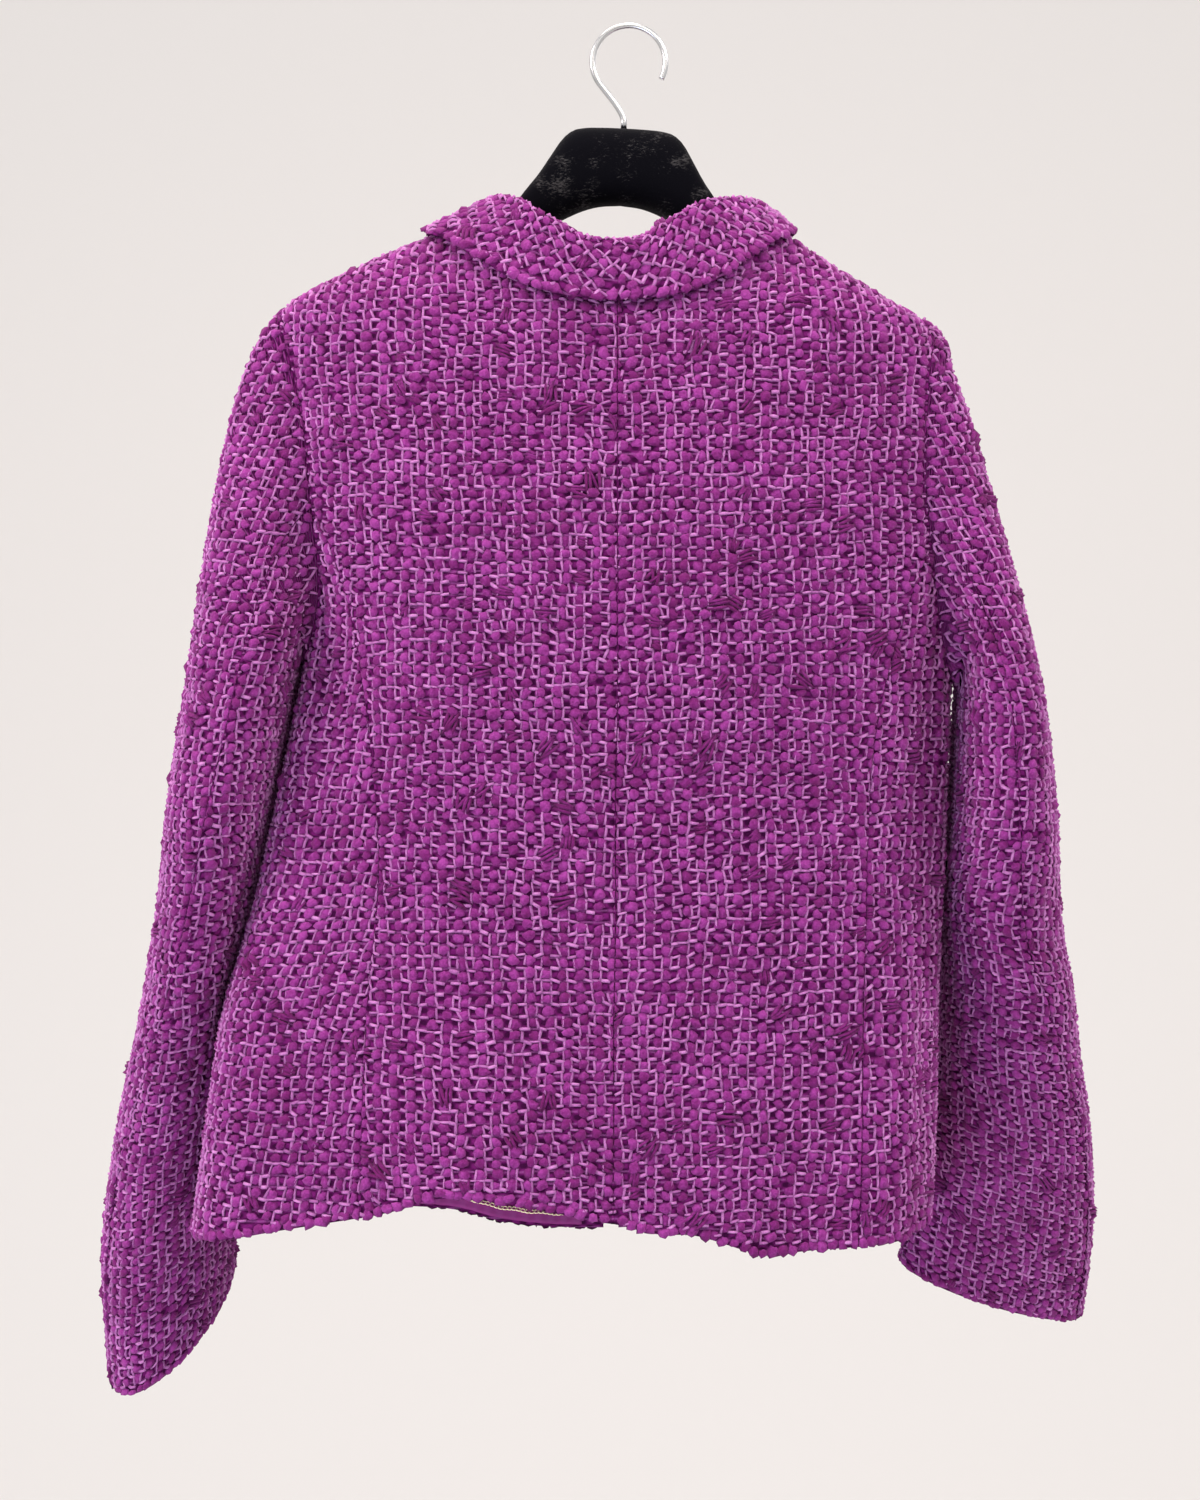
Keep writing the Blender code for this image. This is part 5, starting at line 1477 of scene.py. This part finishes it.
def dress_sleeve(side):
    """Under and upper sleeve: yarns between the two seams, allowances and ground cloth."""
    points, normals = sleeve_grid(side)
    cloth, turned, shares = sleeve_map(side)
    rows = cloth.first[1] + cloth.step[1] * np.arange(len(turned))
    reach = cloth.first[0] + cloth.step[0] * np.arange(turned.shape[1])
    mean_share = np.array([np.interp(0, reach, row) for row in shares])
    seam_back, seam_front = sleeve_seam_angles(side, mean_share)
    back_u = np.array([np.interp(turn, row, reach) for turn, row in zip(seam_back, turned)])
    front_u = np.array([np.interp(turn, row, reach) for turn, row in zip(seam_front - 360, turned)])
    gap = np.where(mean_share > VENT_START, VENT_YARN_GAP, SEAM_HALF)
    full = np.array([np.interp((-180, 180), row, reach) for row in turned])

    def upper_limit(u, v):
        return np.interp(v, rows, front_u) + SEAM_HALF, np.interp(v, rows, back_u - gap)

    def under_limit(u, v):
        behind = u > 0
        low = np.where(behind, np.interp(v, rows, back_u + gap), np.interp(v, rows, full[:, 0]))
        high = np.where(behind, np.interp(v, rows, full[:, 1]), np.interp(v, rows, front_u) - SEAM_HALF)
        return low, high

    def whole(u, v):
        c = np.clip((u - reach[0]) / cloth.step[0], 0, len(reach) - 1).round().astype(int)
        r = np.clip((v - rows[0]) / cloth.step[1], 0, len(rows) - 1).round().astype(int)
        ends = (shares[r, c] > 0.006) & (v < rows[-1] - 3 * MM) & (v > 0)
        return ends & (u > np.interp(v, rows, full[:, 0])) & (u < np.interp(v, rows, full[:, 1]))

    def in_upper(u, v):
        low, high = upper_limit(u, v)
        return whole(u, v) & (u > low - OVER_SEAM) & (u < high + OVER_SEAM)

    def in_under(u, v):
        low, high = upper_limit(u, v)
        return whole(u, v) & ((u < low + 0.9 * MM) | (u > high - 0.9 * MM + 2 * np.interp(v, rows, gap)))

    cuff = np.linspace(*full[-1], 200)
    cuff = np.stack([cuff, np.full(200, rows[-1] - EDGE_ROW)], axis=1)
    of_upper = (cuff[:, 0] > front_u[-1]) & (cuff[:, 0] < back_u[-1] - gap[-1])
    of_under = (cuff[:, 0] > back_u[-1] + gap[-1]) | (cuff[:, 0] < front_u[-1])
    seam, half = np.where(SLEEVE_ALONG > VENT_START, VENT_GAP, SEAM_GAP) / 2, SEAM_GAP / 2
    split = ARMHOLE_UNDER
    for part, cut, low, high, limit, inside, ends_here, shift in (
            ("under_sleeve", np.s_[:, :split + 1], seam, half, under_limit, in_under, of_under, 3.3 * MM),
            ("upper_sleeve", np.s_[:, split:], half, seam, upper_limit, in_upper, of_upper, 0.0)):
        name = f"{part}_{WORD[side]}"
        outer = trimmed(points[cut], normals[cut], low=low, high=high)
        steps = np.linalg.norm(np.diff(outer, axis=1), axis=-1)
        across = np.concatenate([np.zeros((len(outer), 1)), np.cumsum(steps, axis=1)], axis=1)
        flat = np.stack([across, np.broadcast_to(SLEEVE_ALONG[:, None] * rows[-1], across.shape)], axis=-1)
        yarns = weave(name, cloth, limit, inside, cuff[ends_here], -1, shift=shift)
        if part == "under_sleeve":
            closed = SLEEVE_ALONG <= VENT_START
            lines = ((outer[:, -1], normals[:, split]), (outer[closed, 0], normals[closed, 0]),
                     (points[0], normals[0]))
            yarns.append(cord(f"{name}_seams", lines))
        shell(name, outer, normals[cut], flat)


def dress_collar():
    """The collar, its yarns laid on the cross."""
    points, roots = collar_grid()
    normals = grid_normals(points)
    normals *= np.sign((normals[:, 0] * roots).sum())
    normals[:, 0] = roots
    cloth, lengths, depth = collar_map()

    def limit(u, v):
        return np.full(u.shape, 0.5 * MM), np.full(u.shape, lengths[-1] - 0.5 * MM)

    def inside(u, v):
        return ((u > 1 * MM) & (u < lengths[-1] - 1 * MM) & (v > 3 * MM)
                & (v < np.interp(u, lengths, depth) - 1.2 * MM))

    steps = np.linalg.norm(np.diff(points, axis=1), axis=-1)
    across = np.concatenate([np.zeros((len(points), 1)), np.cumsum(steps, axis=1)], axis=1)
    flat = np.stack([np.broadcast_to(lengths[:, None], across.shape), across], axis=-1)
    edge = np.stack([lengths, depth - EDGE_ROW], axis=1)
    yarns = weave("collar", cloth, limit, inside, edge, -1, grain=math.radians(45))
    shell("collar", points, normals, flat, far=COLLAR_CLOTH)


# --- Trim, hanger and hook -------------------------------------------------

LINK_PITCH, LINK_HALF, LINK_WIRE = 2.7 * MM, (2.15 * MM, 1.55 * MM), 0.42 * MM
LINK_ROUND, LINK_TUBE = 10, 5  # corners round a link and round its wire
LINK_ROLL, LINK_LIE = 0.62, 0.55  # radians each link is rolled, and how far it is pressed flat again
BAND_FOOT = 2 * MM  # from the hem up to the band
BAND_ROWS, BAND_COLUMNS = 14, 160
BAND_RIPPLE = 0.35 * MM


def chain(name, path, outward):
    """A curb chain along the path: oval rings of wire, each rolled about the chain's own line."""
    steps = np.linalg.norm(np.diff(path, axis=0), axis=1)
    length = np.concatenate([[0], np.cumsum(steps)])

    def along(values, places):
        return np.stack([np.interp(places, length, values[:, k]) for k in range(3)], axis=1)

    places = np.arange(LINK_HALF[0], length[-1] - LINK_HALF[0], LINK_PITCH)
    middles = along(path, places)
    ahead = unit(along(path, places + MM) - middles)
    out = along(outward, places)
    out = unit(out - (out * ahead).sum(axis=1, keepdims=True) * ahead)
    aside = np.cross(ahead, out)
    ring, tube = np.meshgrid(np.arange(LINK_ROUND) * 2 * np.pi / LINK_ROUND,
                             np.arange(LINK_TUBE) * 2 * np.pi / LINK_TUBE, indexing="ij")
    a = (LINK_HALF[0] + LINK_WIRE * (np.cos(tube) - 1)) * np.cos(ring)
    b = (LINK_HALF[1] + LINK_WIRE * (np.cos(tube) - 1)) * np.sin(ring)
    h = LINK_WIRE * np.sin(tube)
    cos, sin = math.cos(LINK_ROLL), math.sin(LINK_ROLL)
    b, h = b * cos - h * sin, b * sin * LINK_LIE + h * cos
    points = middles[:, None] + sum(measure.ravel()[None, :, None] * way[:, None]
                                    for measure, way in ((a, ahead), (b, aside), (h, out)))
    each = LINK_ROUND * LINK_TUBE
    index = np.arange(each).reshape(LINK_ROUND, LINK_TUBE)
    beside = np.roll(index, -1, 0)
    quads = np.stack([index, beside, np.roll(beside, -1, 1), np.roll(index, -1, 1)], axis=-1).reshape(-1, 4)
    faces = (quads[None] + (np.arange(len(places)) * each)[:, None, None]).reshape(-1, 4)
    points = points.reshape(-1, 3)
    corner, second, third = (points[faces[0, k]] for k in range(3))
    core = points[:LINK_TUBE].mean(axis=0)
    grows = np.cross(second - corner, third - corner) @ (corner - core)
    piece = mesh_piece(name, points, faces if grows > 0 else faces[:, ::-1], GOLD)
    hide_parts(name.removesuffix("_links"))
    return piece


def dress_hem(side):
    """The satin band inside a front's hem and the chain along it, a little slack between its stitches."""
    start, end = FRONT_SEAM_TURN_AT_HEM + 2, float(centre_front_turn(side, hem_height(side, 180))) - 2
    turns = hem_line(side, start, end, BAND_COLUMNS)[:, 0]
    place = np.arange(len(turns))
    heights = hem_height(side, turns) + np.linspace(BAND_FOOT, BAND_HEIGHT, BAND_ROWS)[:, None]
    points, normals = torso(side, turns, heights)
    ripple = BAND_RIPPLE * np.sin(place * 0.9)[None, :, None] * np.linspace(1, 0, BAND_ROWS)[:, None, None]
    under = CLOTH + LAY_GAP
    path, outward = torso(side, turns,
                          hem_height(side, turns) + CHAIN_ABOVE_HEM + 0.35 * MM * np.sin(place * 0.42))
    links = chain(f"hem_chain_{WORD[side]}_links",
                  path - outward * (under + FACING + LAY_GAP + CHAIN_THICK / 2), -outward)
    flat = np.stack([np.broadcast_to(turns * MM, heights.shape), heights], axis=-1)
    shell(f"hem_band_{WORD[side]}", points - normals * under + ripple * normals, normals, flat,
          far=FACING, near=0.0, ground=SATIN)


def loft(name, rings, made_of, node):
    """Rings of points joined by pairs of triangles, their ends closed by fans, in place of a node."""
    count, each = rings.shape[:2]
    index = np.arange(count * each).reshape(count, each)
    after = np.roll(index, -1, axis=1)
    quads = np.stack([index[:-1], after[:-1], after[1:], index[1:]], axis=-1).reshape(-1, 4)
    first, last = (np.full(each, count * each + k) for k in (0, 1))
    fans = [np.stack([first, after[0], index[0]], -1), np.stack([last, index[-1], after[-1]], -1)]
    faces = np.concatenate([quads[:, [0, 1, 2]], quads[:, [0, 2, 3]], *fans])
    points = np.concatenate([rings.reshape(-1, 3), rings[0].mean(axis=0)[None], rings[-1].mean(axis=0)[None]])
    a, b, c = (points[faces[:, k]] for k in range(3))
    if (a * np.cross(b - a, c - a)).sum() < 0:
        faces = faces[:, ::-1]
    piece = mesh_piece(name, points, faces, made_of)
    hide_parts(node)
    return piece


HANGER_ROUND = 0.75  # power of the sections' roundness: 1 is an ellipse, 0 a box


def dress_hanger():
    """Rounded sections every three millimetres along the hanger, from its table of heights and depths."""
    outs = np.linspace(-HANGER[-1][0], HANGER[-1][0], 113)
    places = column(HANGER, HANGER_COLUMNS, "out")
    sizes = {name: smooth(np.abs(outs), places, column(HANGER, HANGER_COLUMNS, name))
             for name in HANGER_COLUMNS}
    angles = np.radians(np.arange(0, 360, 10) + 5)
    cos, sin = np.cos(angles), np.sin(angles)
    middle, high = (sizes["top"] + sizes["bottom"]) / 2, (sizes["top"] - sizes["bottom"]) / 2
    y = -sizes["forward"][:, None] + sizes["half_deep"][:, None] * np.sign(cos) * np.abs(cos) ** HANGER_ROUND
    z = middle[:, None] + high[:, None] * np.sign(sin) * np.abs(sin) ** HANGER_ROUND
    x = np.broadcast_to((outs + HANGER_ASIDE)[:, None], y.shape)
    loft("hanger_flock", tilted(MM * np.stack([x, y, z], axis=-1)), FLOCK, "hanger")


def dress_hook():
    """A round wire along the hook's own route, each ring square to it."""
    radius = HOOK_RADIUS + HOOK_WIRE / 2
    foot = HANGER[0][1] * MM + SEAM_GAP
    turns = np.radians(np.linspace(-35, HOOK_TIP, 61))
    crook = np.stack([radius * np.cos(turns), 0 * turns, -HOOK_RADIUS + radius * np.sin(turns)], axis=1)
    root = np.array((HANGER_ASIDE * MM, 0, foot))
    leave, arrive = np.array((0, 0, 0.02)), np.array((-math.sin(turns[0]), 0, math.cos(turns[0]))) * 0.02
    stem = hermite(np.linspace(0, 1, 19)[:-1], root + (0, 0, HOOK_WIRE), crook[0], leave, arrive)
    route = tilted(np.concatenate([[root], stem, crook]))
    ahead = unit(np.gradient(route, axis=0))
    aside = np.array((0, 1.0, 0))
    up = np.cross(ahead, aside)
    angles = np.arange(0, 360, 22.5) * np.pi / 180
    ring = np.cos(angles)[None, :, None] * aside + np.sin(angles)[None, :, None] * up[:, None]
    loft("hook_wire", route[:, None] + HOOK_WIRE / 2 * ring, STEEL, "hook")


# --- Stage -----------------------------------------------------------------

FLOOR_LEVEL, FLOOR_WIDTH, FLOOR_START, FLOOR_TURN = -2.3, 32.0, 14.0, -3.0  # it turns up past y = -3
SWEEP = 2.0  # radius of the turn
WALL_TOP = 5.0
LAMP_COLUMNS = ("name", "place", "aim", "size", "power", "colour")
LAMPS = (
    ("key", (-0.5, 2.2, 1.3), (0, 0, -0.4), 1.4, 18, (1, 0.91, 0.78)),
    ("fill", (1.1, 1.9, -1.6), (0, 0, -0.6), 1.6, 18, (0.60, 0.72, 1)),
    ("top", (0.3, 0.1, 1.7), (0, 0, -0.3), 1.6, 30, (1, 0.88, 0.80)),
    ("rim", (1.7, 0.8, 0.6), (0.25, 0, -0.30), 0.9, 38, (1, 0.87, 0.89)),
    ("side", (-1.6, 0.8, 1.1), (-0.25, 0, -0.10), 0.9, 30, (1, 0.92, 0.92)),
    ("front", (-0.6, -2.6, 0.6), (0, 0, -0.45), 2.2, 18, (1, 1, 1)),
)
FRAME_HIGH, FRAME_WIDE = 36, 28.8  # the camera's sensor, in millimetres
LENS = 63.168


def lay_floor():
    """A pale floor that runs level, then turns up behind the garment on a quarter circle."""
    turns = np.linspace(0.05, math.pi / 2, 24)
    level = [(y, FLOOR_LEVEL) for y in np.linspace(FLOOR_START, FLOOR_TURN, 30)]
    sweep = [(FLOOR_TURN - SWEEP * math.sin(t), FLOOR_LEVEL + SWEEP * (1 - math.cos(t))) for t in turns]
    rise = [(FLOOR_TURN - SWEEP, z) for z in np.linspace(-0.1, WALL_TOP, 10)]
    drop = np.array(level + sweep + rise)
    across = np.array((-FLOOR_WIDTH / 2, FLOOR_WIDTH / 2))
    points = np.stack([np.repeat(across, len(drop)), np.tile(drop[:, 0], 2), np.tile(drop[:, 1], 2)], axis=1)
    k = np.arange(len(drop) - 1)
    faces = np.stack([k, k + len(drop), k + 1 + len(drop), k + 1], axis=1)
    mesh = bpy.data.meshes.new("floor")
    mesh.from_pydata(points.tolist(), [], faces.tolist())
    mesh.shade_smooth()
    mesh.materials.append(finish("Pale floor", Base_Color=(0.815, 0.797, 0.782, 1), Roughness=1.0,
                                 Specular_IOR_Level=0.0))
    floor = bpy.data.objects.new("floor", mesh)
    bpy.context.scene.collection.objects.link(floor)


def set_lamps():
    """Soft round lamps, which the camera itself doesn't see, and an even pale world."""
    for row in LAMPS:
        lamp_of = dict(zip(LAMP_COLUMNS, row))
        light = bpy.data.lights.new(lamp_of["name"], "AREA")
        light.shape, light.size = "DISK", lamp_of["size"]
        light.energy, light.color = lamp_of["power"], lamp_of["colour"]
        lamp = bpy.data.objects.new(lamp_of["name"], light)
        lamp.location = lamp_of["place"]
        lamp.visible_camera = False
        way = Vector(lamp_of["aim"]) - Vector(lamp_of["place"])
        lamp.rotation_euler = way.to_track_quat("-Z", "Y").to_euler()
        bpy.context.scene.collection.objects.link(lamp)
    world = bpy.data.worlds.new("studio")
    world.use_nodes = True
    pale = world.node_tree.nodes["Background"].inputs
    pale["Color"].default_value = (1.0, 0.985, 0.975, 1)
    pale["Strength"].default_value = 0.86
    bpy.context.scene.world = world
    bpy.context.scene.view_settings.view_transform = "Standard"


def set_camera():
    """The camera stands level, straight behind the garment's back."""
    lens = bpy.data.cameras.new("camera")
    lens.sensor_fit, lens.sensor_height, lens.sensor_width = "VERTICAL", FRAME_HIGH, FRAME_WIDE
    lens.lens = LENS
    camera = bpy.data.objects.new("camera", lens)
    camera.location = (0.0175, 1.5, -0.411)
    camera.rotation_euler = (math.pi / 2, 0, math.pi)
    bpy.context.scene.collection.objects.link(camera)
    bpy.context.scene.camera = camera


lay_floor()
set_lamps()
set_camera()
for sign in (LEFT, RIGHT):
    dress_torso(sign)
    dress_sleeve(sign)
    dress_hem(sign)
dress_collar()
dress_hanger()
dress_hook()
